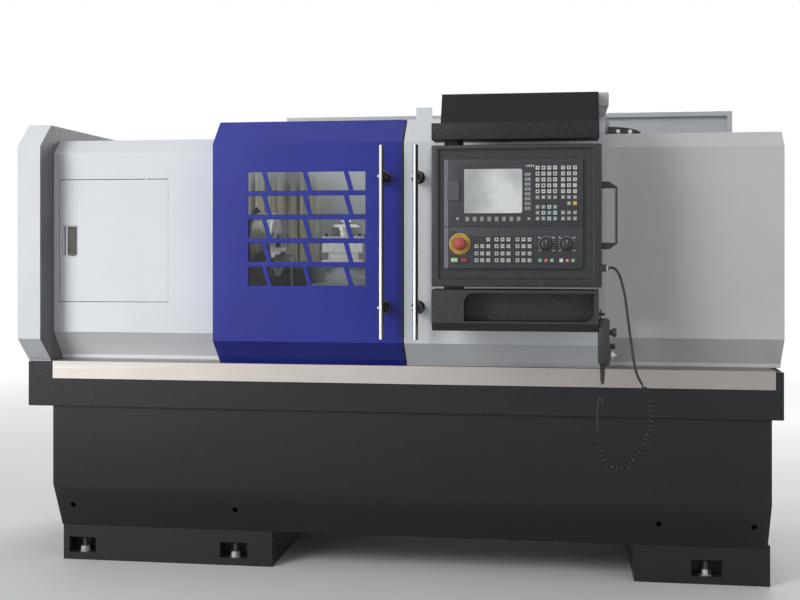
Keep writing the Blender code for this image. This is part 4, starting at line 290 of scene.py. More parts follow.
WHITE = (0.760, 0.785, 0.815)
# Painted shade: a greyer copy of WHITE for the right guard, which is the same white paint standing
# in shade.
SHADED_WHITE = (0.630, 0.625, 0.612)
BLUE = (0.019, 0.027, 0.290)
BLACK = (0.0175, 0.0180, 0.0195)
PANEL_GREY = (0.0185, 0.0200, 0.0230)
UNIT_GREY = (0.030, 0.033, 0.040)
LILAC = (0.185, 0.185, 0.225)
STEEL = (0.60, 0.58, 0.56)
CHROME = (0.78, 0.78, 0.78)
CAST_GREY = (0.300, 0.320, 0.330)
LIGHT_GREY = (0.580, 0.600, 0.620)
KEY_WHITE = (0.700, 0.690, 0.660)
KEY_GREY = (0.330, 0.330, 0.340)
YELLOW = (0.700, 0.440, 0.070)
RED = (0.480, 0.085, 0.065)
GREEN = (0.300, 0.620, 0.300)
COLLAR = (0.690, 0.440, 0.110)


def end_white():
    """White enamel, with painted shade on the faces that look along +X, the return towards the
    headstock: a streaky dark grey laid over them.
    """
    paint = enamel("end_white", WHITE, 0.55, coat=0.0)
    # Painted shade: a streaky grey laid over the faces that look to +X, standing for the shadow
    # there beside the proud end cover.
    streaks = paint.spread(paint.noise(1.0, 3, (60.0, 60.0, 1.2)), 0.3, 0.7)
    grey = paint.mix(streaks, (0.130, 0.128, 0.130), (0.200, 0.198, 0.196))
    return paint.over(paint.spread(paint.facing(0), 0.60, 0.80), grey)


def strip_metal():
    """The brushed rail in front of the doors, with painted shade that darkens it, in patches,
    towards its right end.
    """
    paint = brushed("strip", (0.470, 0.435, 0.410), "X", 0.46)
    # Painted shade: darker towards the right end, broken up in patches of noise.
    share = paint.ramp(0, 0.10, 0.90, 0.0, 0.8)
    patches = paint.spread(paint.noise(1.0, 4, (2.0, 9.0, 9.0)), 0.3, 0.7, 0.7, 1.0)
    return paint.over(paint.maths("MULTIPLY", share, patches), (0.300, 0.275, 0.250))


def streaks_with_painted_light(paint, pitch, *shares):
    """Pale and dark streaks on the working area's sheets, where every share is one; the pale
    streaks are lifted bright as painted light, and below z 1.03 the sheets turn near black.
    """
    streak_share = paint.spread(paint.noise(1.0, 4, (pitch, pitch, 0.8), 0.65), 0.42, 0.54)
    # Painted light: the pale streak colour is lifted bright to stand for light the enclosed working
    # area does not get.
    streaked = paint.mix(streak_share, (0.150, 0.130, 0.090), (0.900, 0.840, 0.640))
    # Below z 1.03 the colour goes near black.
    above = paint.ramp(2, 1.03, 1.07)
    streaked = paint.mix(above, (0.014, 0.014, 0.013), streaked)
    share = paint.ramp(2, 1.44, 1.36)
    for other in shares:
        share = paint.maths("MULTIPLY", share, other)
    return paint.over(share, streaked)


def rear_sheet():
    """Light grey sheet, with streaks and painted light on its inner side next to the headstock."""
    paint = enamel("rear", LIGHT_GREY)
    inside = paint.spread(paint.facing(1), -0.5, -0.7)
    return streaks_with_painted_light(paint, 34.0, inside, paint.ramp(0, -0.40, -0.50))


def cover_sheet():
    """White enamel, with streaks and painted light on the end that the chuck turns at."""
    paint = enamel("cover", WHITE)
    inside = paint.spread(paint.facing(0), 0.6, 0.8)
    return streaks_with_painted_light(paint, 15.0, inside, paint.ramp(0, -0.60, -0.59))


def chrome_bar():
    """A polished bar with a painted reflection: a bright side to the left and a dark one on the
    side that looks to the right.
    """
    paint = brushed("bar", CHROME, "Z", 0.16, 0.00001, 0.05)
    # Painted reflection: faces looking to +X are painted dark, as if a dark room were mirrored
    # there.
    return paint.over(paint.spread(paint.facing(0), 0.02, 0.22), (0.085, 0.082, 0.080))


def screw_thread():
    """A ball screw: a round groove every ten millimetres along X."""
    paint = turned_metal("screw", STEEL, (0, 0, 0), "X", 0.24)
    wave = paint.maths("SINE", paint.maths("MULTIPLY", paint.along(0), TURN * 100))
    return paint.bump(wave, 0.0016)


def hood_coat():
    """The pendant's grain, with the sloping top darker and smoother."""
    paint = pebble("hood", PANEL_GREY).dull(0.25)
    return paint.over(paint.ramp(2, 1.5135, 1.5150), shade(PANEL_GREY, 0.50))


def collar_coat():
    """The control panel's grain, and the yellow collar round the emergency stop."""
    paint = pebble("control", UNIT_GREY, 620, 0.0002, 0.52, 0.24, 1.5)
    middle = (STOP_CENTRE[0], UNIT_FRONT, STOP_CENTRE[1])
    around = paint.spread(paint.far_from(middle, "Y"), 0.0336, 0.0332)
    proud = paint.ramp(1, UNIT_FRONT - 0.0003, UNIT_FRONT - 0.0005)
    return paint.over(paint.maths("MULTIPLY", around, proud), COLLAR)


def bed_finish():
    """Painted casting whose way tops are ground bright."""
    paint = cast("bed", CAST_GREY)
    top = paint.ramp(2, BED_TOP - 0.0006, BED_TOP - 0.0002)
    lines = paint.noise(1.0, 3, (8.0, 900.0, 900.0))
    paint.over(top, paint.mix(lines, shade(STEEL, 0.8), shade(STEEL, 1.1)))
    paint.set("Metallic", top)
    paint.set("Roughness", paint.spread(top, 0.0, 1.0, 0.5, 0.28))
    return paint


def screen_face():
    """A blank screen painted with a reflection of a pale room, a little darker to its left."""
    paint = Paint("screen", (0.7, 0.72, 0.72), 0.10)
    # Painted reflection: the pale, cloudy colour stands for a room mirrored in the dark screen.
    cloud = paint.patches(11.0, 2, 0.34, 0.62)
    base = paint.mix(cloud, (0.52, 0.545, 0.55), (0.80, 0.82, 0.82))
    # Painted reflection: the darker patch at the screen's left.
    left = paint.ramp(0, 0.285, 0.370, 0.45, 0.0)
    paint.set("Base Color", paint.mix(left, base, (0.22, 0.225, 0.23)))
    paint.set("Coat Weight", 0.6)
    paint.set("Coat Roughness", 0.05)
    return paint


def make_paints():
    """Every paint, under the name that the pieces ask for."""
    enamel("white", WHITE)
    # Painted shade: a greyer copy of the white enamel, for the right guard.
    enamel("shaded_white", SHADED_WHITE, tint=(0.68, 0.675, 0.66))
    enamel("blue", BLUE, 0.36, 0.00010, 0.08, 0.04, tint=(0.025, 0.034, 0.320)).dull(0.30)
    end_white()
    pebble("black", BLACK, 260, 0.00025, 0.50, 0.14, 1.3).dull(0.3)
    plastic("black_smooth", (0.022, 0.022, 0.024), 0.34)
    pebble("pebble", PANEL_GREY)
    hood_coat()
    pebble("unit", UNIT_GREY, 620, 0.0002, 0.52, 0.24, 1.5)
    collar_coat()
    plastic("lilac", LILAC, 0.36)
    plastic("flap", (0.085, 0.085, 0.100), 0.34)
    strip_metal()
    brushed("steel", STEEL, "Y", 0.30)
    brushed("steel_x", STEEL, "X", 0.28)
    turned_metal("spindle", STEEL, (0, SPINDLE_Y, SPINDLE_Z), "X")
    brushed("chrome", CHROME, "Z", 0.16, 0.00001, 0.05)
    chrome_bar()
    screw_thread()
    brushed("dark_chrome", (0.085, 0.075, 0.070), "Y", 0.24, 0.00001, 0.05)
    plastic("bolt", (0.045, 0.045, 0.048), 0.34, 300)
    brushed("zinc", (0.62, 0.62, 0.60), "Z", 0.34, 0.00002)
    cast("cast", CAST_GREY)
    bed_finish()
    cast("light_cast", LIGHT_GREY, 0.5)
    enamel("light_grey", LIGHT_GREY)
    window_glass("glass")
    screen_face()
    plastic("key_white", KEY_WHITE, 0.5)
    plastic("key_grey", KEY_GREY, 0.5)
    plastic("key_mid", (0.160, 0.162, 0.170), 0.5)
    plastic("key_dark", (0.020, 0.021, 0.024), 0.45)
    plastic("key_yellow", YELLOW, 0.45)
    plastic("key_cyan", (0.46, 0.66, 0.68), 0.45)
    plastic("red", RED, 0.36)
    plastic("deep_red", (0.210, 0.026, 0.024), 0.36)
    plastic("key_red", (0.460, 0.090, 0.085), 0.45)
    plastic("key_green", (0.150, 0.400, 0.190), 0.45)
    plastic("green", GREEN, 0.36)
    plastic("ink", (0.78, 0.78, 0.76), 0.6)
    plastic("ink_grey", (0.46, 0.46, 0.46), 0.6)
    # Painted highlight: the light grey of the strips along the pendant box's right and bottom
    # edges.
    plastic("edge_highlight_grey", (0.210, 0.215, 0.220), 0.45)
    rear_sheet()
    cover_sheet()
    plastic("black_plastic", (0.024, 0.024, 0.026), 0.42, 700, 0.0001)
    plastic("unit_plastic", (0.024, 0.023, 0.028), 0.46, 800, 0.0001)
    rubber("rubber")
    rubber("cable", (0.014, 0.014, 0.015), 0.36)
    plastic("gland", (0.110, 0.112, 0.116), 0.42)
    rubber("belt", (0.018, 0.018, 0.018), 0.7)
    cast("motor", (0.055, 0.060, 0.068), 0.42)


CAD_PAINTS = {
    "end_white": "end_cover",
    "cover": "headstock_cover",
    "white": "access_door upper_rail right_door electrical_cabinet",
    # Painted shade: the right guard's white paint, greyed.
    "shaded_white": "right_guard",
    "blue": "left_door",
    "black": "base_cabinet chip_tray",
    "black_smooth": "arm_mount access_latch",
    "motor": "z_servo_motor x_servo_motor spindle_motor",
    "hood": "pendant_hood",
    "pebble": "pendant_box storage_box",
    "unit": "display_unit",
    "control": "control_panel",
    "strip": "door_rail",
    "spindle": "spindle chuck_body live_centre tailstock_quill",
    "steel": "chuck_jaw_1 chuck_jaw_2 chuck_jaw_3 turret_head",
    "screw": "z_ballscrew",
    "steel_x": "motor_pulley hand_wheel",
    "chrome": "tailstock_handwheel",
    "bar": "left_door_handle right_door_handle",
    "gland": "cable_gland",
    "cast": "saddle cross_slide screw_bracket",
    "bed": "lathe_bed",
    "light_cast": "headstock_casting turret_base tailstock_body",
    "light_grey": "pendant_arm",
    "rear": "rear_guard",
    "glass": "left_door_glass",
    "screen": "display_screen",
    "key_dark": "upper_keys lower_keys",
    "red": "emergency_stop",
    "deep_red": "stop_button",
    "green": "start_button",
    "black_plastic": "feed_knob spindle_knob pendant_grip",
    "unit_plastic": "hand_unit_body",
    "rubber": "pendant_lead curly_cord hand_lead",
    "belt": "drive_belt",
}


# Shapes


def circle(centre, side, other, steps):
    """Points round a centre, reached by two vectors at right angles."""
    angles = [TURN * i / steps for i in range(steps)]
    return [centre + side * math.cos(a) + other * math.sin(a) for a in angles]


class Form:
    """Gathers solids into one mesh, in the model's frame."""

    def __init__(self):
        self.mesh = bmesh.new()

    def soften(self, verts, bevel, segments):
        if bevel:
            edges = list({edge for vert in verts for edge in vert.link_edges})
            options = {"segments": segments, "affect": "EDGES", "clamp_overlap": True}
            bmesh.ops.bevel(self.mesh, geom=edges, offset=bevel, **options)

    def box(self, low, high, bevel=0.0, segments=2, turn=None):
        low, high = Vector(low), Vector(high)
        verts = bmesh.ops.create_cube(self.mesh, size=1.0)["verts"]
        middle, size = (low + high) / 2, high - low
        for vert in verts:
            point = Vector([c * s for c, s in zip(vert.co, size)])
            vert.co = middle + (turn @ point if turn else point)
        self.soften(verts, bevel, segments)
        return self

    def plate(self, centre, half, depths, bevel=0.0, segments=2):
        """A thin upright box: the (x, z) of its middle, its half sizes, and its front and back."""
        (x, z), (wide, high), (front, back) = centre, half, depths
        return self.box((x - wide, front, z - high), (x + wide, back, z + high), bevel, segments)

    def rings(self, loops, closed=False):
        """Joins loops of equally many points into a skin; a loop of one point is a tip."""
        rows = [[self.mesh.verts.new(point) for point in loop] for loop in loops]
        pairs = list(zip(rows, rows[1:]))
        if closed:
            pairs.append((rows[-1], rows[0]))
        for first, second in pairs:
            count = max(len(first), len(second))
            for i in range(count):
                j = (i + 1) % count
                if len(first) == 1:
                    corners = [first[0], second[j], second[i]]
                elif len(second) == 1:
                    corners = [first[i], first[j], second[0]]
                else:
                    corners = [first[i], first[j], second[j], second[i]]
                self.mesh.faces.new(corners)
        if not closed:
            if len(rows[0]) > 1:
                self.mesh.faces.new(rows[0][::-1])
            if len(rows[-1]) > 1:
                self.mesh.faces.new(rows[-1])
        return self

    def turned(self, centre, axis, profile, steps=32, closed=False):
        """Revolves (radius, along) pairs about an axis through a centre."""
        centre, axis = Vector(centre), Vector(axis).normalized()
        side = axis.orthogonal().normalized()
        other = axis.cross(side)
        loops = []
        for radius, along in profile:
            spot = centre + axis * along
            if radius < 1e-7:
                loops.append([spot])
                continue
            loops.append(circle(spot, side * radius, other * radius, steps))
        return self.rings(loops, closed)

    def rod(self, start, end, radius, steps=24, bevel=0.0):
        start, end = Vector(start), Vector(end)
        length = (end - start).length
        profile = [(radius, bevel), (radius, length - bevel)]
        if bevel:
            profile = [(radius - bevel, 0), *profile, (radius - bevel, length)]
        return self.turned(start, end - start, profile, steps)

    def hexagon(self, start, end, across, bevel=0.0006):
        return self.rod(start, end, across / math.sqrt(3), 6, bevel)

    def tube(self, points, radius, sides=10):
        """A round tube along points, with frames carried from one to the next."""
        points = [Vector(point) for point in points]
        side = (points[1] - points[0]).orthogonal().normalized()
        loops = []
        for i, point in enumerate(points):
            ahead = points[min(i + 1, len(points) - 1)] - points[max(i - 1, 0)]
            ahead.normalize()
            side = (side - ahead * side.dot(ahead)).normalized()
            other = ahead.cross(side)
            size = radius[i] if isinstance(radius, list) else radius
            loops.append(circle(point, side * size, other * size, sides))
        return self.rings(loops)

    def prism(self, outline, across):
        """A flat outline of points carried along a vector."""
        first = [Vector(point) for point in outline]
        return self.rings([first, [point + Vector(across) for point in first]])

    def frame(self, low, high, wide, front, back, bevel=0.0004):
        """Four bars round a rectangle of (x, z) corners, between two depths."""
        x0, z0, x1, z1 = *low, *high
        for a, b, c, d in (
            (x0 - wide, z0 - wide, x1 + wide, z0),
            (x0 - wide, z1, x1 + wide, z1 + wide),
            (x0 - wide, z0, x0, z1),
            (x1, z0, x1 + wide, z1),
        ):
            self.box((a, front, b), (c, back, d), bevel)
        return self

    def text(self, words, place, size):
        """Upright figures on a face that looks to the front."""
        curve = bpy.data.curves.new("figures", "FONT")
        curve.body = words
        curve.size = size
        curve.extrude = 0.0003
        curve.offset = size * 0.025
        curve.align_x = "CENTER"
        curve.align_y = "CENTER"
        curve.resolution_u = 2
        holder = bpy.data.objects.new("figures", curve)
        bpy.context.scene.collection.objects.link(holder)
        holder.matrix_world = Matrix.Translation(place) @ Matrix.Rotation(math.radians(90), 4, "X")
        bpy.context.view_layer.update()
        graph = bpy.context.evaluated_depsgraph_get()
        flat = bpy.data.meshes.new_from_object(holder.evaluated_get(graph))
        flat.transform(holder.matrix_world)
        self.mesh.from_mesh(flat)
        bpy.data.objects.remove(holder)
        bpy.data.curves.remove(curve)
        bpy.data.meshes.remove(flat)
        return self

    def done(self, name, paint, body, slot, smooth=True):
        """Makes the piece, which rides on a body; the slot it is given is not used."""
        mesh = self.mesh
        bmesh.ops.recalc_face_normals(mesh, faces=mesh.faces)
        data = bpy.data.meshes.new(name)
        mesh.to_mesh(data)
        mesh.free()
        if smooth:
            data.polygons.foreach_set("use_smooth", [True] * len(data.polygons))
            data.set_sharp_from_angle(angle=SMOOTH_ANGLE)
        data.materials.append(PAINTS[paint].material)
        piece = bpy.data.objects.new(name, data)
        bpy.context.scene.collection.objects.link(piece)
        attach(piece, body)
        return piece


def smoothing_group():
    """Shades smooth, except at sharp edges."""
    group = bpy.data.node_groups.new("soft_shading", "GeometryNodeTree")
    group.interface.new_socket("Geometry", in_out="INPUT", socket_type="NodeSocketGeometry")
    group.interface.new_socket("Geometry", in_out="OUTPUT", socket_type="NodeSocketGeometry")
    nodes, links = group.nodes, group.links
    start, end = nodes.new("NodeGroupInput"), nodes.new("NodeGroupOutput")
    faces, edges = nodes.new("GeometryNodeSetShadeSmooth"), nodes.new("GeometryNodeSetShadeSmooth")
    angle, compare = nodes.new("GeometryNodeInputMeshEdgeAngle"), nodes.new("FunctionNodeCompare")
    edges.domain = "EDGE"
    compare.data_type, compare.operation = "FLOAT", "LESS_THAN"
    compare.inputs["B"].default_value = SMOOTH_ANGLE
    links.new(start.outputs[0], faces.inputs["Geometry"])
    links.new(faces.outputs[0], edges.inputs["Geometry"])
    links.new(angle.outputs["Unsigned Angle"], compare.inputs["A"])
    links.new(compare.outputs[0], edges.inputs["Shade Smooth"])
    links.new(edges.outputs[0], end.inputs[0])
    return group


BEVELS = {
    0.0030: "base_cabinet chip_tray",
    0.0020: "end_cover headstock_cover right_guard left_door right_door rear_guard "
    "electrical_cabinet",
    0.0012: "headstock_casting lathe_bed saddle cross_slide tailstock_body turret_head",
}


def dress_cad():
    """Gives every carried-over node its material, welded points and soft edges."""
    group = smoothing_group()
    widths = {name: width for width, names in BEVELS.items() for name in names.split()}
    for paint, names in CAD_PAINTS.items():
        for name in names.split():
            node = NODES[name]
            node.data.materials.clear()
            node.data.materials.append(PAINTS[paint].material)
            weld = node.modifiers.new("weld", "WELD")
            weld.merge_threshold = 0.00002
            if name in widths:
                bevel = node.modifiers.new("edges", "BEVEL")
                bevel.width = widths[name]
                bevel.segments = 2
                bevel.limit_method = "ANGLE"
                bevel.angle_limit = math.radians(30)
                bevel.use_clamp_overlap = True
            soft = node.modifiers.new("shading", "NODES")
            soft.node_group = group
            if name in widths:
                flat = node.modifiers.new("flat_faces", "WEIGHTED_NORMAL")
                flat.mode = "FACE_AREA"
                flat.keep_sharp = True


# Camera and stage


def make_camera():
    camera = bpy.data.objects.new("camera", bpy.data.cameras.new("camera"))
    bpy.context.scene.collection.objects.link(camera)
    camera.location = (0.563, -4.109, 1.135)
    camera.rotation_euler = (math.radians(90), 0, math.radians(7.9))
    camera.data.sensor_width = 36
    camera.data.lens = 50.85
    camera.data.shift_y = -0.06875
    bpy.context.scene.camera = camera


def make_light(name, place, target, size, energy):
    data = bpy.data.lights.new(name, "AREA")
    data.shape = "RECTANGLE"
    data.size, data.size_y = size
    data.energy = energy
    light = bpy.data.objects.new(name, data)
    bpy.context.scene.collection.objects.link(light)
    light.location = place
    light.rotation_euler = (Vector(target) - Vector(place)).to_track_quat("-Z", "Y").to_euler()


def seen_white(tree, plain):
    """The share where a camera, mirror or glass ray meets a shader, and the plain white to mix in
    there.
    """
    path = tree.nodes.new("ShaderNodeLightPath")
    first = tree.nodes.new("ShaderNodeMath")
    second = tree.nodes.new("ShaderNodeMath")
    first.operation = second.operation = "MAXIMUM"
    tree.links.new(path.outputs["Is Camera Ray"], first.inputs[0])
    tree.links.new(path.outputs["Is Glossy Ray"], first.inputs[1])
    tree.links.new(first.outputs[0], second.inputs[0])
    tree.links.new(path.outputs["Is Transmission Ray"], second.inputs[1])
    kind = "ShaderNodeEmission" if plain.type == "SHADER" else "ShaderNodeBackground"
    white = tree.nodes.new(kind)
    white.inputs["Color"].default_value = (1, 1, 1, 1)
    white.inputs["Strength"].default_value = 1.0
    return second.outputs[0], white.outputs[0]


def make_world():
    world = bpy.data.worlds.new("plain_studio")
    bpy.context.scene.world = world
    world.use_nodes = True
    tree = world.node_tree
    plain = tree.nodes["Background"]
    plain.inputs["Color"].default_value = (0.93, 0.96, 1.0, 1)
    plain.inputs["Strength"].default_value = 0.46
    share, white = seen_white(tree, plain.outputs[0])
    mix = tree.nodes.new("ShaderNodeMixShader")
    tree.links.new(share, mix.inputs[0])
    tree.links.new(plain.outputs[0], mix.inputs[1])
    tree.links.new(white, mix.inputs[2])
    tree.links.new(mix.outputs[0], tree.nodes["World Output"].inputs[0])


def make_floor():
    """A pale floor that turns white far away and gives back little light."""
    form = Form().box((-30, -30, -0.10), (30, 30, -0.0004))
    data = bpy.data.meshes.new("floor")
    form.mesh.to_mesh(data)
    floor = bpy.data.objects.new("floor", data)
    bpy.context.scene.collection.objects.link(floor)
    paint = Paint("floor", (0.80, 0.80, 0.79), 0.8)
    clouds = paint.patches(1.3, 4, 0.3, 0.7)
    paint.set("Base Color", paint.mix(clouds, (0.78, 0.78, 0.77), (0.84, 0.84, 0.83)))
    share, white = seen_white(paint.tree, paint.shader.outputs[0])
    far = paint.spread(paint.far_from((0, 0, 0)), 2.4, 6.5)
    bounce = paint.add("ShaderNodeBsdfDiffuse", {"Color": (0.30, 0.30, 0.30)}).outputs[0]
    diffuse = paint.add("ShaderNodeLightPath").outputs["Is Diffuse Ray"]
    coated = paint.shader.outputs[0]
    body = paint.add("ShaderNodeMixShader", {0: diffuse, 1: coated, 2: bounce}).outputs[0]
    share = paint.maths("MULTIPLY", share, far)
    mix = paint.add("ShaderNodeMixShader", {0: share, 1: body, 2: white}).outputs[0]
    paint.feed(paint.tree.nodes["Material Output"].inputs[0], mix)
    data.materials.append(paint.material)


def make_stage():
    make_world()
    make_floor()
    make_light("key", (-3.6, -4.8, 3.6), (-0.2, 0, 0.9), (2.6, 2.6), 158)
    make_light("low", (-3.9, -5.4, 0.62), (0.9, 0, 0.75), (1.8, 0.9), 58)
    make_light("fill", (4.8, -4.2, 2.4), (0, 0, 0.8), (3.0, 3.0), 22)
    make_light("back", (1.5, 5.0, 3.4), (0, 0, 0.9), (3.2, 2.6), 150)
    bpy.context.scene.view_settings.view_transform = "Standard"


# The hand unit's cable: (x, z) points of its route, in the plane of the panel's middle

GLAND_END = (0.7228, GLAND_Z)
RELIEF_END = (0.7030, 0.6615)
CABLE_ROUTE = (
    (0.7540, 1.0440),
    (0.7700, 0.9850),
    (0.7800, 0.9120),
    (0.7910, 0.8290),
    (0.8060, 0.7420),
    (0.8400, 0.6700),
    (0.8500, 0.5900),
    (0.8200, 0.5050),
    (0.7680, 0.4480),
    (0.7200, 0.4600),
    (0.6930, 0.5200),
    (0.6870, 0.6000),
    (0.6930, 0.6600),
)
CABLE_GAP = 0.0003
LEAD_SHARE = 0.395
CURL_SHARE = 0.855
CURL_TURNS = 30
CURL_STEPS = 16
CURL_RADIUS = 0.0073


def cable_route():
    """The same smooth route as the model's, as fine points and the length up to each."""
    (start_x, start_z), (end_x, end_z) = GLAND_END, RELIEF_END
    points = [(start_x + CABLE_GAP, start_z), (start_x + 0.014, start_z), *CABLE_ROUTE]
    points += [(end_x, end_z - 0.020), (end_x, end_z - CABLE_GAP)]
    points = [Vector((x, PANEL_MID, z)) for x, z in points]
    padded = [points[0] * 2 - points[1]] + points + [points[-1] * 2 - points[-2]]
    fine = [points[0]]
    for i in range(1, len(padded) - 2):
        a, b, c, d = padded[i - 1 : i + 3]
        for step in range(1, 25):
            t = step / 24
            cubic = 2 * b + (c - a) * t + (2 * a - 5 * b + 4 * c - d) * t * t
            fine.append((cubic + (3 * b - a - 3 * c + d) * t * t * t) / 2)
    lengths = [0.0]
    for a, b in zip(fine, fine[1:]):
        lengths.append(lengths[-1] + (b - a).length)
    return fine, lengths


def spot_on(route, wanted):
    """The point of the route at a length along it."""
    fine, lengths = route
    wanted = min(max(wanted, 0.0), lengths[-1])
    j = next(k for k in range(1, len(lengths)) if lengths[k] >= wanted - 1e-9)
    share = (wanted - lengths[j - 1]) / (lengths[j] - lengths[j - 1])
    return fine[j - 1].lerp(fine[j], share)


def curl_points(route, start, end):
    """A coil wound round the route, its ends drawn in to the route's middle."""
    count = CURL_TURNS * CURL_STEPS
    sideways = Vector((0, 1, 0))
    points = []
    for i in range(count + 1):
        share = i / count
        at = start + (end - start) * share
        ahead = (spot_on(route, at + 0.002) - spot_on(route, at - 0.002)).normalized()
        across = ahead.cross(sideways).normalized()
        angle = TURN * CURL_TURNS * share
        reach = CURL_RADIUS * min(1.0, share * 26, (1 - share) * 26)
        outward = across * math.cos(angle) + sideways * math.sin(angle)
        points.append(spot_on(route, at) + outward * reach)
    return points


def make_cables():
    """The lead from the gland, the curly part and the thin lead up to the hand unit."""
    route = cable_route()
    whole = route[1][-1]
    lead_end, curl_end = whole * LEAD_SHARE, whole * CURL_SHARE
    lead = [spot_on(route, i * lead_end / 60) for i in range(61)]
    curl = curl_points(route, lead_end, curl_end)
    thin = [spot_on(route, curl_end + i * (whole - curl_end) / 40) for i in range(41)]
    for name, node, points, diameter, sides in (
        ("pendant_cable", "pendant_lead", lead, 0.0080, 14),
        ("spiral_cable", "curly_cord", curl, 0.0052, 8),
        ("unit_cable", "hand_lead", thin, 0.0060, 12),
    ):
        cable = Form().tube(points, diameter / 2, sides)
        cable = cable.done(name, "cable", "pendant", "cable_rubber")
        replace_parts(cable, node)


# Operator panel: (x, z) places on its front

KEY_PITCH = 0.0181
LETTER_PITCH = 0.0178
PANEL_KEY_PITCH = 0.0183
LETTER_COLUMNS = [0.5046 + i * LETTER_PITCH for i in range(4)]
NUMBER_COLUMNS = [0.5818 + i * KEY_PITCH for i in range(3)]
KEY_ROWS = [1.3717 - i * KEY_PITCH for i in range(6)]
ENTRY_ROW = 1.2627
ARROW_ROWS = [1.2517 - i * LETTER_PITCH for i in range(3)]
FUNCTION_ROWS = [1.2338 - i * KEY_PITCH for i in range(2)]
ARROW_CELLS = ((2, 0), (1, 1), (3, 1), (2, 2))
ARROW_CENTRE = (LETTER_COLUMNS[2], 1.2339)
KEY_HALF = 0.0064
PANEL_KEY_HALF = 0.0062
PANEL_ROWS = [1.1520, 1.1312, 1.1090, 1.0880]
LEFT_COLUMNS = [0.3173, 0.3353, 0.3538]
MIDDLE_COLUMNS = [0.3793 + i * PANEL_KEY_PITCH for i in range(3)]
RIGHT_COLUMNS = [0.4435 + i * PANEL_KEY_PITCH for i in range(3)]
COLOURED_KEYS = {
    "green": (0.5122, 0.5482, 0.6125),
    "red": (0.5302, 0.5945),
    "white": (0.5765,),
}
MARK_FRONT = KEY_FRONT - 0.0009
MARK_DEPTH = 0.0006
SCREEN_LOW, SCREEN_HIGH = (0.2777, 1.2328), (0.4582, 1.3704)
SCREEN_CORNER = 0.0085
UNIT_SPLIT = 1.1902
BUTTONS = {"start": 0.2494, "stop": 0.2800}
BUTTON_Z = 1.0885
KNOBS = {"feed_knob": 0.5311, "spindle_knob": 0.5933}
KNOB_Z = 1.1375


def key_caps(name, places, paint, half=KEY_HALF):
    """Crowned caps over the model's keys."""
    form = Form()
    for place in places:
        form.plate(place, (half, half), (KEY_FRONT - 0.0006, KEY_FRONT + 0.0012), 0.0008)
    form.done(name, paint, "pendant", "key_plastic")


def key_marks(name, places, paint, size=0.0046):
    """Small raised marks in the middle of keys, of three plain kinds."""
    form = Form()
    depths = (MARK_FRONT, MARK_FRONT + MARK_DEPTH)
    for index, place in enumerate(places):
        wide, high = ((0.36, 0.36), (0.5, 0.5), (0.5, 0.30))[index % 3]
        form.plate(place, (size * wide, size * high), depths, 0.0002, 1)
    form.done(name, paint, "pendant", "black_paint")


def arrow_marks(places):
    """Triangles on the arrow keys, each pointing away from their middle."""
    form = Form()
    for x, z in places:
        away = Vector((x - ARROW_CENTRE[0], 0, z - ARROW_CENTRE[1])).normalized()
        side = Vector((-away.z, 0, away.x)) * 0.003
        spot = Vector((x, MARK_FRONT, z))
        foot = spot - away * 0.0022
        form.prism([spot + away * 0.0032, foot + side, foot - side], (0, MARK_DEPTH, 0))
    form.done("arrow_marks", "key_dark", "pendant", "black_paint")


def make_keyboard():
    """Caps and marks of the keys beside the screen."""
    columns = LETTER_COLUMNS + NUMBER_COLUMNS
    letters = [(x, z) for z in KEY_ROWS[:5] for x in LETTER_COLUMNS]
    numbers = [(x, z) for z in KEY_ROWS[:5] for x in NUMBER_COLUMNS]
    greys = [(x, KEY_ROWS[5]) for x in columns] + [(NUMBER_COLUMNS[1], ENTRY_ROW)]
    arrows = []
    for row, z in enumerate(ARROW_ROWS):
        for column, x in enumerate(LETTER_COLUMNS):
            (arrows if (column, row) in ARROW_CELLS else greys).append((x, z))
    greys += [(x, z) for z in FUNCTION_ROWS for x in NUMBER_COLUMNS]
    key_caps("letter_keys", letters, "key_white")
    key_caps("number_keys", numbers, "key_white")
    key_caps("function_keys", greys, "key_grey")
    key_caps("arrow_keys", arrows, "key_cyan")
    key_caps("entry_key", [(NUMBER_COLUMNS[2], ENTRY_ROW)], "key_yellow")
    key_marks("letter_marks", letters, "key_dark", 0.0056)
    key_marks("function_marks", greys, "ink", 0.0042)
    form = Form()
    for figure, (x, z) in zip("789456123-0.+=/", numbers):
        form.text(figure, (x, KEY_FRONT - 0.0007, z), 0.0100)
    form.done("key_figures", "key_dark", "pendant", "black_paint")
    arrow_marks(arrows)


def make_panel_keys():
    """Caps and marks of the machine's own keys under the screen."""
    whites = []
    for columns in (LEFT_COLUMNS, MIDDLE_COLUMNS, RIGHT_COLUMNS):
        for z in PANEL_ROWS:
            first = 2 if columns is LEFT_COLUMNS and z == PANEL_ROWS[0] else 0
            whites += [(x, z) for x in columns[first:]]
    key_caps("panel_keys", whites, "key_white", PANEL_KEY_HALF)
    key_marks("panel_marks", whites, "key_dark", 0.0060)
    coloured = []
    for colour, columns in COLOURED_KEYS.items():
        places = [(x, PANEL_ROWS[-1]) for x in columns]
        name = "key_white_cap" if colour == "white" else "key_%s_caps" % colour
        key_caps(name, places, "key_" + colour, PANEL_KEY_HALF)
        coloured += places
    key_marks("coloured_key_marks", coloured, "ink")


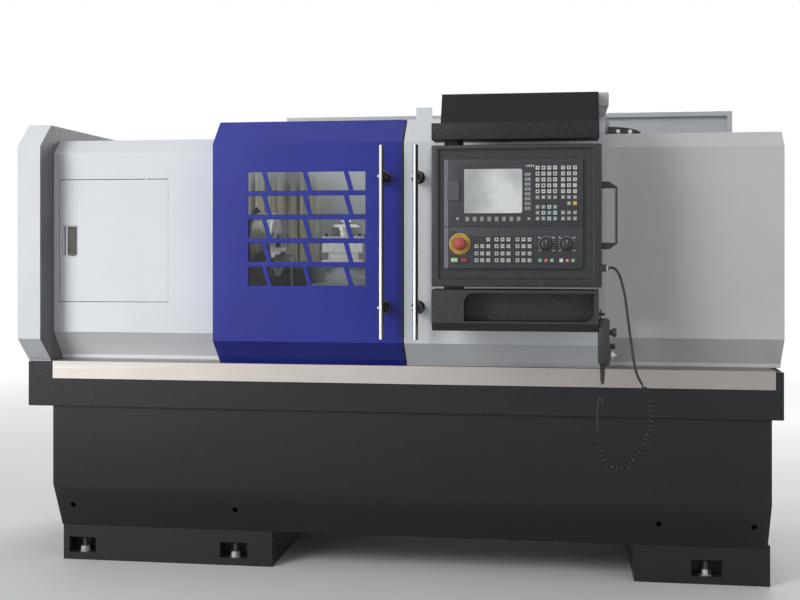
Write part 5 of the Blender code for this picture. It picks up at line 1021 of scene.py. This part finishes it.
def make_display_flap():
    """The lilac side strips, and the port's flap with its lit edge and hinge."""
    front, inside = UNIT_FRONT, UNIT_FRONT + 0.0004
    form = Form()
    for low, high in ((1.1922, 1.3994), (1.0625, UNIT_SPLIT)):
        form.box((0.2169, front - 0.0012, low), (0.2301, front + 0.0006, high), 0.0006)
    form.done("side_strips", "lilac", "pendant", "unit_plastic")
    form = Form().box((0.2272, front - 0.0036, 1.2722), (0.2612, inside, 1.3328), 0.0012)
    form.done("port_flap", "flap", "pendant", "unit_plastic")
    form = Form().box((0.2600, front - 0.0040, 1.2730), (0.2622, inside, 1.3320), 0.0005)
    form.done("flap_edge", "lilac", "pendant", "unit_plastic")
    form = Form().box((0.2626, front - 0.0022, 1.2716), (0.2668, inside, 1.3332), 0.0006)
    form.box((0.2264, front - 0.0014, 1.2700), (0.2630, inside, 1.2716), 0.0004)
    form.done("flap_hinge", "key_dark", "pendant", "black_plastic")


def make_screen_rim():
    """A thin dark rim, with the two right corners filled to a round."""
    front = UNIT_FRONT
    form = Form().frame(SCREEN_LOW, SCREEN_HIGH, 0.0022, front - 0.0010, front + 0.0012)
    right = SCREEN_HIGH[0]
    for side, z in ((-1, SCREEN_LOW[1]), (1, SCREEN_HIGH[1])):
        spot = Vector((right, front - 0.0004, z))
        outline = [spot, spot - Vector((SCREEN_CORNER, 0, 0))]
        for i in range(1, 6):
            a = math.radians(90 - 15 * i)
            inward = Vector((math.cos(a) - 1, 0, side * (math.sin(a) - 1)))
            outline.append(spot + inward * SCREEN_CORNER)
        outline.append(spot - Vector((0, 0, side * SCREEN_CORNER)))
        form.prism(outline, (0, 0.0020, 0))
    form.done("screen_rim", "key_dark", "pendant", "black_plastic")


def make_soft_keys():
    """Eight keys under the screen, eight beside it and two at the corners, with their marks."""
    front = UNIT_FRONT
    left, low = SCREEN_LOW
    pitch = (SCREEN_HIGH[0] - left) / 8
    depths = (front - 0.0021, front - 0.0015)
    form, marks = Form(), Form()
    for index in range(8):
        x = left + (index + 0.5) * pitch
        form.plate((x, low - 0.0178), (0.0076, 0.0084), (front - 0.0018, front), 0.0010)
        for drop, half in ((0.0219, 0.0013), (0.0175, 0.0013), (0.0134, 0.0012)):
            marks.plate((x, low - drop), (0.0048, half), depths, 0.0002, 1)
        z = 1.2475 + index * 0.0149
        form.plate((0.4745, z), (0.0102, 0.0059), (front - 0.0018, front), 0.0008)
        for mark_x in (0.4700, 0.4791):
            for mark_z in (z - 0.0023, z + 0.0023):
                marks.plate((mark_x, mark_z), (0.0036, 0.0013), depths, 0.0002, 1)
    for place in ((0.259, 1.2165), (0.4784, 1.2158)):
        form.plate(place, (0.0062, 0.0056), (front - 0.0016, front), 0.0008)
        marks.plate(place, (0.0036, 0.0032), (front - 0.0020, front - 0.0012), 0.0002, 1)
    form.done("soft_key_caps", "key_mid", "pendant", "unit_plastic")
    marks.done("soft_key_marks", "ink_grey", "pendant", "unit_plastic")


def make_display_details():
    make_display_flap()
    make_screen_rim()
    make_soft_keys()
    front = UNIT_FRONT
    form = Form()
    for z, high in ((UNIT_SPLIT, 0.0020), (1.3870, 0.0006)):
        form.box((0.2300, front - 0.0004, z), (0.6405, front + 0.0002, z + high))
    form.done("unit_seams", "key_dark", "pendant", "black_plastic")
    form = Form()
    for x in (0.4715, 0.4785, 0.4855, 0.4925):
        form.plate((x, 1.3790), (0.0022, 0.0015), (front - 0.0008, front), 0.0003)
        form.plate((x, 1.3752), (0.0010, 0.0014), (front - 0.0008, front), 0.0003)
    form.done("status_lights", "ink", "pendant", "unit_plastic")


def make_buttons():
    """The start and stop buttons' bezels and marks, and the emergency stop's ring and arrows."""
    front = UNIT_FRONT
    form = Form()
    for x in BUTTONS.values():
        low, high = (x - 0.0113, BUTTON_Z - 0.0074), (x + 0.0113, BUTTON_Z + 0.0074)
        form.frame(low, high, 0.0022, front - 0.0026, front + 0.0002, 0.0006)
    form.done("button_bezels", "bolt", "pendant", "black_plastic")
    depths = (front - 0.0066, front - 0.0058)
    for (name, x), paint in zip(BUTTONS.items(), ("ink", "key_red")):
        mark = Form().plate((x, BUTTON_Z), (0.0066, 0.0016), depths, 0.0002, 1)
        mark.done(name + "_mark", paint, name + "_button", "key_plastic")
    stop_x, stop_z = STOP_CENTRE
    profile = [(0.0245, 0.0020), (0.0325, 0.0020), (0.0322, 0.0034), (0.0300, 0.0042)]
    profile += [(0.0262, 0.0046), (0.0245, 0.0040)]
    ring = Form().turned((stop_x, front, stop_z), (0, -1, 0), profile, 48, closed=True)
    ring.done("stop_collar_ring", "key_yellow", "pendant", "key_plastic")
    middle = Vector((stop_x, front - 0.0045, stop_z))
    dashes = Form()
    for k in range(20):
        a = TURN * k / 20
        spot = middle + Vector((math.cos(a), 0, math.sin(a))) * 0.0285
        half = Vector((0.0010, 0.0004, 0.0026 if k % 5 else 0.0036))
        dashes.box(spot - half, spot + half, 0.0002, 1, Matrix.Rotation(-a, 3, "Y"))
    dashes.done("stop_collar_dashes", "key_dark", "pendant", "black_plastic")
    form = Form()
    for k in range(3):
        angles = [TURN * k / 3 + TURN * 0.2 * i / 8 for i in range(9)]
        arc = [(stop_x + 0.0118 * math.cos(a), stop_z + 0.0118 * math.sin(a)) for a in angles]
        radii = [0.0004 + 0.0006 * (i / 8) for i in range(9)]
        form.tube([(x, front - 0.0299, z) for x, z in arc], radii, 6)
    form.done("stop_arrows", "key_red", "emergency_stop", "key_plastic")


def knob_grip(centre):
    """A knob with twenty flutes and a bar across its face."""
    steps, flutes = 80, 20
    loops = []
    for radius, depth, wave in (
        (0.0188, 0.0004, 0.0),
        (0.0188, 0.0030, 0.0),
        (0.0176, 0.0042, 0.0008),
        (0.0168, 0.0165, 0.0008),
        (0.0160, 0.0188, 0.0006),
        (0.0142, 0.0200, 0.0),
    ):
        loop = []
        for i in range(steps):
            a = TURN * i / steps
            r = radius + wave * math.cos(flutes * a)
            loop.append(centre + Vector((r * math.cos(a), -depth, r * math.sin(a))))
        loops.append(loop)
    depths = (centre.y - 0.0236, centre.y - 0.0190)
    return Form().rings(loops).plate((centre.x, centre.z), (0.0030, 0.0138), depths, 0.0010)


def knob_scale(centre):
    """Sixteen ticks round a knob, and four figures."""
    ticks = Form()
    for i in range(16):
        a = math.radians(225 - 18 * i)
        half = 0.0021 if i % 5 == 0 else 0.0013
        reach = 0.0228 + half
        spot = centre + Vector((math.cos(a) * reach, -0.0003, math.sin(a) * reach))
        size = Vector((half, 0.0003, 0.0008))
        ticks.box(spot - size, spot + size, turn=Matrix.Rotation(-a, 3, "Y"))
    for figure, degrees in (("0", 225), ("50", 135), ("100", 45), ("120", -45)):
        a = math.radians(degrees)
        spot = centre + Vector((0.0305 * math.cos(a), -0.0001, 0.0285 * math.sin(a)))
        ticks.text(figure, spot, 0.0060)
    return ticks


def make_knobs():
    for name, x in KNOBS.items():
        centre = Vector((x, UNIT_FRONT, KNOB_Z))
        knob = knob_grip(centre).done(name + "_grip", "black_plastic", name, "black_plastic")
        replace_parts(knob, name)
        depths = (UNIT_FRONT - 0.0240, UNIT_FRONT - 0.0232)
        line = Form().plate((x, KNOB_Z + 0.00775), (0.0007, 0.00525), depths, 0.0002, 1)
        line.done(name + "_line", "ink", name, "key_plastic")
        knob_scale(centre).done(name + "_scale", "ink", "pendant", "key_plastic")


def pan_head(radius, shank, rim, top, inner):
    """A screw head's profile, from a little inside the face it sits on."""
    return [(0.0, -shank), (radius, -shank), (radius, rim), (inner, top), (0.0, top)]


def washer(radius, thick):
    return [(0.0, 0.0), (radius, 0.0), (radius, thick), (0.0, thick)]


def make_pendant_details():
    """Edges, lock, gland, back cover and screws of the panel's box."""
    front = PANEL_FRONT
    form = Form().frame((0.2000, 1.0322), (0.6720, 1.4306), 0.0020, front - 0.0008, front + 0.0056)
    form.done("bezel_edge", "black_smooth", "pendant", "panel_powder_coat")
    # Painted highlights: light grey strips along the box's right and bottom edges, where light
    # catches them.
    form = Form().box((0.6731, front - 0.0012, 1.0302), (0.6743, front + 0.0030, 1.4326), 0.0003)
    form.box((0.2780, front + 0.0030, 1.0006), (0.6900, front + 0.0100, 1.0056), 0.0008)
    form.done("painted_edge_highlights", "edge_highlight_grey", "pendant", "bright_steel")
    profile = pan_head(0.0062, 0.002, 0.0012, 0.0022, 0.0050)
    form = Form().turned((0.5165, front, 1.0172), (0, -1, 0), profile, 28)
    form.plate((0.5165, 1.0172), (0.0008, 0.0032), (front - 0.0026, front - 0.0018), 0.0002, 1)
    form.done("box_lock", "bolt", "pendant", "black_plastic")
    form = Form().hexagon((0.6985, PANEL_MID, GLAND_Z), (0.7035, PANEL_MID, GLAND_Z), 0.024)
    form.done("gland_flange", "gland", "pendant", "polished_steel")
    form = Form().hexagon((0.7140, PANEL_MID, GLAND_Z), (0.7195, PANEL_MID, GLAND_Z), 0.0205)
    form.done("gland_nut", "zinc", "pendant", "polished_steel")
    back = PANEL_BACK
    profile = pan_head(0.0040, 0.002, 0.0018, 0.0026, 0.0028)
    form = Form()
    for x in (0.1905, 0.6850):
        for z in (1.0190, 1.4380):
            form.turned((x, back, z), (0, 1, 0), profile, 16)
    form.done("back_cover_screws", "bolt", "pendant", "black_plastic")
    form = Form().box((0.2025, back - 0.0005, 1.0200), (0.6730, back + 0.0020, 1.4300), 0.0008)
    for index in range(7):
        z = 1.080 + index * 0.016
        form.box((0.340, back + 0.0016, z), (0.540, back + 0.0040, z + 0.007), 0.0010)
    form.done("panel_back_cover", "pebble", "pendant", "panel_powder_coat")
    form = Form()
    for z in (1.1318, 1.3207):
        form.hexagon((0.7085, -0.5708, z), (0.7085, -0.5738, z), 0.008)
    form.done("grip_screws", "bolt", "pendant", "black_plastic")


def make_hand_unit():
    """Seams, selectors, wheel face, scale and hook screws of the hand unit."""
    left, low, right, top = 0.6905, 0.7665, 0.7235, 0.9065
    back, front = PANEL_MID + 0.042, PANEL_MID - 0.042
    rightward = (1, 0, 0)
    form = Form()
    middle, half = (left + right) / 2, (right - left) / 2 - 0.004
    for z in (0.7835, 0.8380, 0.8860):
        form.plate((middle, z), (half, 0.0008), (front - 0.0009, front + 0.0004), 0.0003)
    first = (left - 0.0008, front + 0.006, low + 0.006)
    form.box(first, (left + 0.0006, back - 0.006, top - 0.006), 0.0005)
    form.done("unit_seams_dark", "key_dark", "pendant", "black_plastic")
    upper, lower = (right, PANEL_MID - 0.020, 0.866), (right, PANEL_MID + 0.020, 0.820)
    profile = [(0.0, 0.0), (0.0085, 0.0), (0.0085, 0.0060), (0.0125, 0.0078)]
    profile += [(0.0132, 0.0125), (0.0132, 0.0190), (0.0118, 0.0208), (0.0, 0.0208)]
    form = Form().turned(upper, rightward, profile, 28)
    form.turned(lower, rightward, washer(0.0082, 0.0150), 24)
    form.done("unit_selectors", "black_plastic", "pendant", "black_plastic")
    profile = [(0.0060, 0.0150), (0.0090, 0.0150), (0.0095, 0.0172)]
    profile += [(0.0085, 0.0190), (0.0060, 0.0190)]
    form = Form().turned(lower, rightward, profile, 28, closed=True)
    form.done("selector_ring", "dark_chrome", "pendant", "bright_steel")
    profile = [(0.0, 0.0135), (0.0120, 0.0135), (0.0132, 0.0148), (0.0120, 0.0160), (0.0, 0.0160)]
    form = Form().turned((0.7238, PANEL_MID, WHEEL_Z), rightward, profile, 36)
    y = PANEL_MID - 0.009
    form.rod((0.7390, y, WHEEL_Z), (0.7460, y, WHEEL_Z), 0.0030, 16, 0.0008)
    form.done("hand_wheel_face", "steel_x", "hand_wheel", "bright_steel")
    form = Form()
    for i in range(30):
        a = TURN * i / 30
        y, z = PANEL_MID + 0.0180 * math.cos(a), WHEEL_Z + 0.0180 * math.sin(a)
        form.rod((right - 0.0004, y, z), (right + 0.0010, y, z), 0.0006, 6)
    form.done("hand_wheel_scale", "ink", "pendant", "key_plastic")
    form = Form()
    z = top + 0.004
    for y in (PANEL_MID - 0.010, PANEL_MID + 0.010):
        form.rod((left + 0.0035, y, z), (left + 0.0095, y, z), 0.0032, 14, 0.0006)
    form.done("hook_screws", "zinc", "pendant", "bright_steel")


# Outside of the machine

BOLT_POCKETS = (-1.183, -0.621, 1.009)
DOOR_FRONT = -0.389
HANDLES = {"left_door": -0.0045, "right_door": 0.1073}
HANDLE_Y = -0.460
HANDLE_Z = (0.8263, 1.4621)
POST_HEIGHTS = (0.9292, 1.3592)
SEAL_PROFILE = ((-0.3035, 0.7285), (DOOR_FRONT, 0.8090), (DOOR_FRONT, 1.4785), (-0.3035, 1.5590))
ARM_MOUNT_TOP = 1.5164
ARM_FRONT = -0.200


def make_levelling_bolts():
    nuts, studs = Form(), Form()
    for left in BOLT_POCKETS:
        x, y = left + 0.050, -0.196
        profile = [(0.0115, 0), (0.0230, 0), (0.0230, 0.0034), (0.0115, 0.0034)]
        nuts.turned((x, y, 0.0262), (0, 0, 1), profile, 28, closed=True)
        nuts.hexagon((x, y, 0.0300), (x, y, 0.0450), 0.030, 0.0012)
        studs.rod((x, y, 0.0262), (x, y, 0.0740), 0.0098, 20, 0.0010)
    nuts.done("levelling_nuts", "zinc", "machine", "bright_steel")
    studs.done("levelling_studs", "bolt", "machine", "black_paint")


def make_handles():
    """Each door's bar on two dark posts, with a small nub at each post."""
    stem = washer(0.0060, 0.0650)
    collar = [(0.0, -0.002), (0.0225, -0.002), (0.0225, 0.0020), (0.0180, 0.0045), (0.0165, 0.0060)]
    collar += [(0.0165, 0.0440), (0.0140, 0.0500), (0.0, 0.0500)]
    nub = [(0.0, 0.0), (0.0062, 0.0), (0.0062, 0.0030), (0.0044, 0.0056), (0.0, 0.0064)]
    for body, x in HANDLES.items():
        bar = Form().rod((x, HANDLE_Y, HANDLE_Z[0]), (x, HANDLE_Y, HANDLE_Z[1]), 0.009, 40, 0.0014)
        posts, nubs = Form(), Form()
        for z in POST_HEIGHTS:
            posts.turned((x, DOOR_FRONT, z), (0, -1, 0), stem, 24)
            posts.turned((x, DOOR_FRONT - 0.002, z), (0, -1, 0), collar, 40)
            nubs.turned((x - 0.0080, HANDLE_Y, z), (-1, 0, 0), nub, 20)
        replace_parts(bar.done(body + "_bar", "bar", body, "polished_steel"), body + "_handle")
        posts.done(body + "_posts", "dark_chrome", body, "polished_steel")
        nubs.done(body + "_nubs", "chrome", body, "polished_steel")


def make_front_details():
    """The doors' handles and seal, the arm's bolts and the access door's latch."""
    make_handles()
    section = ((0.0535, -0.0012), (0.0578, -0.0012), (0.0578, 0.001), (0.0535, 0.001))
    form = Form().rings([[(x, y + reach, z) for x, reach in section] for y, z in SEAL_PROFILE])
    form.done("door_seal", "rubber", "left_door", "cable_rubber", smooth=False)
    form = Form()
    for x in (0.6250, 0.7520):
        form.turned((x, -0.140, ARM_MOUNT_TOP), (0, 0, 1), washer(0.0110, 0.0020), 24)
        form.hexagon((x, -0.140, ARM_MOUNT_TOP + 0.002), (x, -0.140, ARM_MOUNT_TOP + 0.0095), 0.016)
    for x, z in ((0.7691, 1.5215), (0.8093, 1.5200)):
        form.turned((x, ARM_FRONT, z), (0, -1, 0), washer(0.0072, 0.0014), 24)
        form.hexagon((x, ARM_FRONT - 0.0014, z), (x, ARM_FRONT - 0.0064, z), 0.010)
    form.done("arm_bolts", "zinc", "machine", "bright_steel")
    form = Form().frame((-1.1790, 1.0980), (-1.1280, 1.2030), 0.0020, -0.2838, -0.2822)
    form.done("latch_rim", "black_smooth", "access_door", "black_paint")
    form = Form().box((-1.1700, -0.2834, 1.0990), (-1.1630, -0.2660, 1.2020), 0.0012)
    form.done("latch_cheek", "white", "access_door", "white_paint")
    profile = [(0.0, 0.0), (0.0120, 0.0), (0.0112, 0.0016), (0.0, 0.0022)]
    form = Form().turned((-1.1448, -0.2862, 1.1080), (0, -1, 0), profile, 32)
    form.box((-1.1560, -0.2874, 1.1100), (-1.1336, -0.2858, 1.1960), 0.0007)
    form.done("latch_paddle_face", "black_smooth", "access_latch", "black_paint")


# Working area

CAP_FACE = -0.6195
TURRET_FLAT = 1.1655


def round_spindle(radius, turns):
    """Points round the spindle's line, at shares of a turn."""
    angles = [TURN * turn for turn in turns]
    return [(SPINDLE_Y + radius * math.cos(a), SPINDLE_Z + radius * math.sin(a)) for a in angles]


def make_machine_inside():
    """Bolts and rings of the bearing cap, the chuck and the turret."""
    form = Form()
    for y, z in round_spindle(0.098, [(i + 0.5) / 6 for i in range(6)]):
        form.rod((CAP_FACE - 0.002, y, z), (CAP_FACE + 0.007, y, z), 0.0075, 18, 0.0010)
    form.done("bearing_cap_bolts", "bolt", "machine", "black_paint")
    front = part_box("chuck_body")[1].x
    form = Form()
    for radius in (0.118, 0.060, 0.046):
        profile = [(radius - 0.0014, -0.001), (radius + 0.0014, -0.001)]
        profile += [(radius + 0.0010, 0.0005), (radius - 0.0010, 0.0005)]
        form.turned((front, SPINDLE_Y, SPINDLE_Z), (1, 0, 0), profile, 64, closed=True)
    form.done("chuck_face_rings", "spindle", "spindle", "bright_steel")
    form = Form()
    for y, z in round_spindle(0.088, [i / 3 + 0.25 + 1 / 6 for i in range(3)]):
        form.rod((front - 0.004, y, z), (front + 0.0012, y, z), 0.0085, 20, 0.0006)
    form.done("chuck_bolts", "bolt", "spindle", "black_paint")
    low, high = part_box("turret_head")
    centre = (low + high) / 2
    form = Form()
    for x in (centre.x - 0.062, centre.x + 0.062):
        for y in (centre.y - 0.062, centre.y + 0.062):
            form.rod((x, y, TURRET_FLAT - 0.004), (x, y, TURRET_FLAT + 0.012), 0.0075, 6, 0.0010)
    form.done("turret_bolts", "bolt", "turret", "black_paint")
    profile = [(0.0, 0.0), (0.024, 0.0), (0.024, 0.010), (0.018, 0.016)]
    profile += [(0.018, 0.026), (0.010, 0.030), (0.0, 0.030)]
    form = Form().turned((centre.x, centre.y, high.z), (0, 0, 1), profile, 32)
    form.done("turret_cap", "steel", "turret", "bright_steel")


# Back of the machine


def screw_heads(spots):
    """Round heads on faces that look to the back."""
    form = Form()
    profile = [(0.0, -0.001), (0.0055, -0.001), (0.0055, 0.0008), (0.004125, 0.0026), (0.0, 0.0032)]
    for spot in spots:
        form.turned(spot, (0, 1, 0), profile, 16)
    return form


def make_cabinet_details():
    """The electrical cabinet's door seam, hinges, locks and louvre hoods."""
    low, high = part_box("electrical_cabinet")
    back = high.y
    inset = 0.024
    form = Form()
    corners = (low.x + inset, low.z + inset), (high.x - inset, high.z - inset)
    form.frame(*corners, 0.0022, back - 0.001, back + 0.0004, 0.0)
    form.done("cabinet_seam", "key_dark", "machine", "black_paint")
    form = Form()
    x, y = low.x + 0.012, back + 0.004
    for z in (low.z + 0.10, (low.z + high.z) / 2, high.z - 0.10):
        form.rod((x, y, z - 0.030), (x, y, z + 0.030), 0.0065, 18, 0.0010)
        form.box((x, back - 0.001, z - 0.024), (x + 0.032, back + 0.0025, z + 0.024), 0.0008)
    form.done("cabinet_hinges", "black_smooth", "machine", "black_paint")
    form = Form()
    x = high.x - 0.050
    for z in (low.z + 0.16, high.z - 0.16):
        form.turned((x, back, z), (0, 1, 0), pan_head(0.0140, 0.001, 0.0030, 0.0050, 0.0115), 28)
        form.plate((x, z), (0.0015, 0.0075), (back + 0.0045, back + 0.0062), 0.0003, 1)
    form.done("cabinet_locks", "zinc", "machine", "bright_steel")
    form = Form()
    left, across = low.x + 0.098, high.x - low.x - 0.196
    hood = ((-0.001, 0.0), (0.0040, 0.0), (-0.001, 0.0080))
    for index in range(6):
        z = low.z + 0.0885 + index * 0.025
        outline = [(left, back + out, z + up) for out, up in hood]
        form.prism(outline, (across, 0, 0))
    form.done("cabinet_louvres", "white", "machine", "white_paint", smooth=False)


def make_rear_guard_details():
    """Screws along the rear guard's edges, two pressed ribs, and the cover's screws."""
    low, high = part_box("rear_guard")
    back = high.y
    sides, heights = (low.x + 0.018, high.x - 0.018), (0.80, 1.00, 1.20, 1.40, 1.60)
    spots = [(x, back, z) for x in sides for z in heights]
    columns = [low.x + 0.16 + i * 0.307 for i in range(6)]
    spots += [(x, back, z) for x in columns for z in (low.z + 0.020, high.z - 0.018)]
    screw_heads(spots).done("rear_guard_screws", "bolt", "machine", "black_paint")
    form = Form()
    section = ((-0.020, -0.001), (-0.010, 0.004), (0.010, 0.004), (0.020, -0.001))
    ends = (low.z + 0.06, high.z - 0.06)
    for x in (low.x + 0.62, low.x + 1.24):
        form.rings([[(x + a, back + b, z) for a, b in section] for z in ends])
    form.done("rear_guard_ribs", "light_grey", "machine", "light_grey_paint")
    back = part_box("headstock_cover")[1].y
    spots = [(-1.150, back, z) for z in (0.78, 1.00, 1.20, 1.42)]
    screw_heads(spots).done("cover_screws", "bolt", "machine", "black_paint")


def make_carriage_details():
    """Plug boxes on two motors, the quill's clamp lever and the saddle's wipers."""
    down, up = Vector((0.030, 0.030, 0.002)), Vector((0.030, 0.030, 0.022))
    for name, body, slot in (
        ("x_servo_motor", "saddle", "black_paint"),
        ("spindle_motor", "machine", "cast_paint"),
    ):
        low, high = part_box(name)
        middle = (low + high) / 2
        top = Vector((middle.x, middle.y, high.z))
        form = Form().box(top - down, top + up, 0.004)
        form.done(name + "_box", "motor", body, slot)
    foot = Vector((0.800, SPINDLE_Y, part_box("tailstock_body")[1].z - 0.002))
    form = Form().rod(foot, foot + Vector((0, 0, 0.022)), 0.0130, 24, 0.0015)
    bends = ((0, 0, 0.014), (0.030, -0.020, 0.030), (0.080, -0.050, 0.055))
    form.tube([foot + Vector(bend) for bend in bends], 0.0055, 14)
    form.done("quill_lever", "chrome", "tailstock", "polished_steel")
    profile = [(0.0, -0.013), (0.008, -0.010), (0.0125, -0.004)]
    profile += [(0.0125, 0.004), (0.008, 0.010), (0.0, 0.013)]
    form = Form().turned(foot + Vector((0.084, -0.052, 0.057)), (0.8, -0.5, 0.4), profile, 24)
    form.done("quill_lever_knob", "black_plastic", "tailstock", "black_plastic")
    low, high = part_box("saddle")
    form = Form()
    for start, end in ((low.x - 0.006, low.x), (high.x, high.x + 0.006)):
        for y in (SPINDLE_Y - 0.140, SPINDLE_Y + 0.140):
            form.box((start, y - 0.040, BED_TOP + 0.018), (end, y + 0.040, BED_TOP + 0.048), 0.0015)
    form.done("way_wipers", "rubber", "saddle", "cable_rubber")


# Camera and cords first, then what is carried over, then the looks
make_camera()
make_paints()
make_cables()
dress_cad()
make_keyboard()
make_panel_keys()
make_display_details()
make_buttons()
make_knobs()
make_pendant_details()
make_hand_unit()
make_levelling_bolts()
make_front_details()
make_machine_inside()
make_cabinet_details()
make_rear_guard_details()
make_carriage_details()
make_stage()
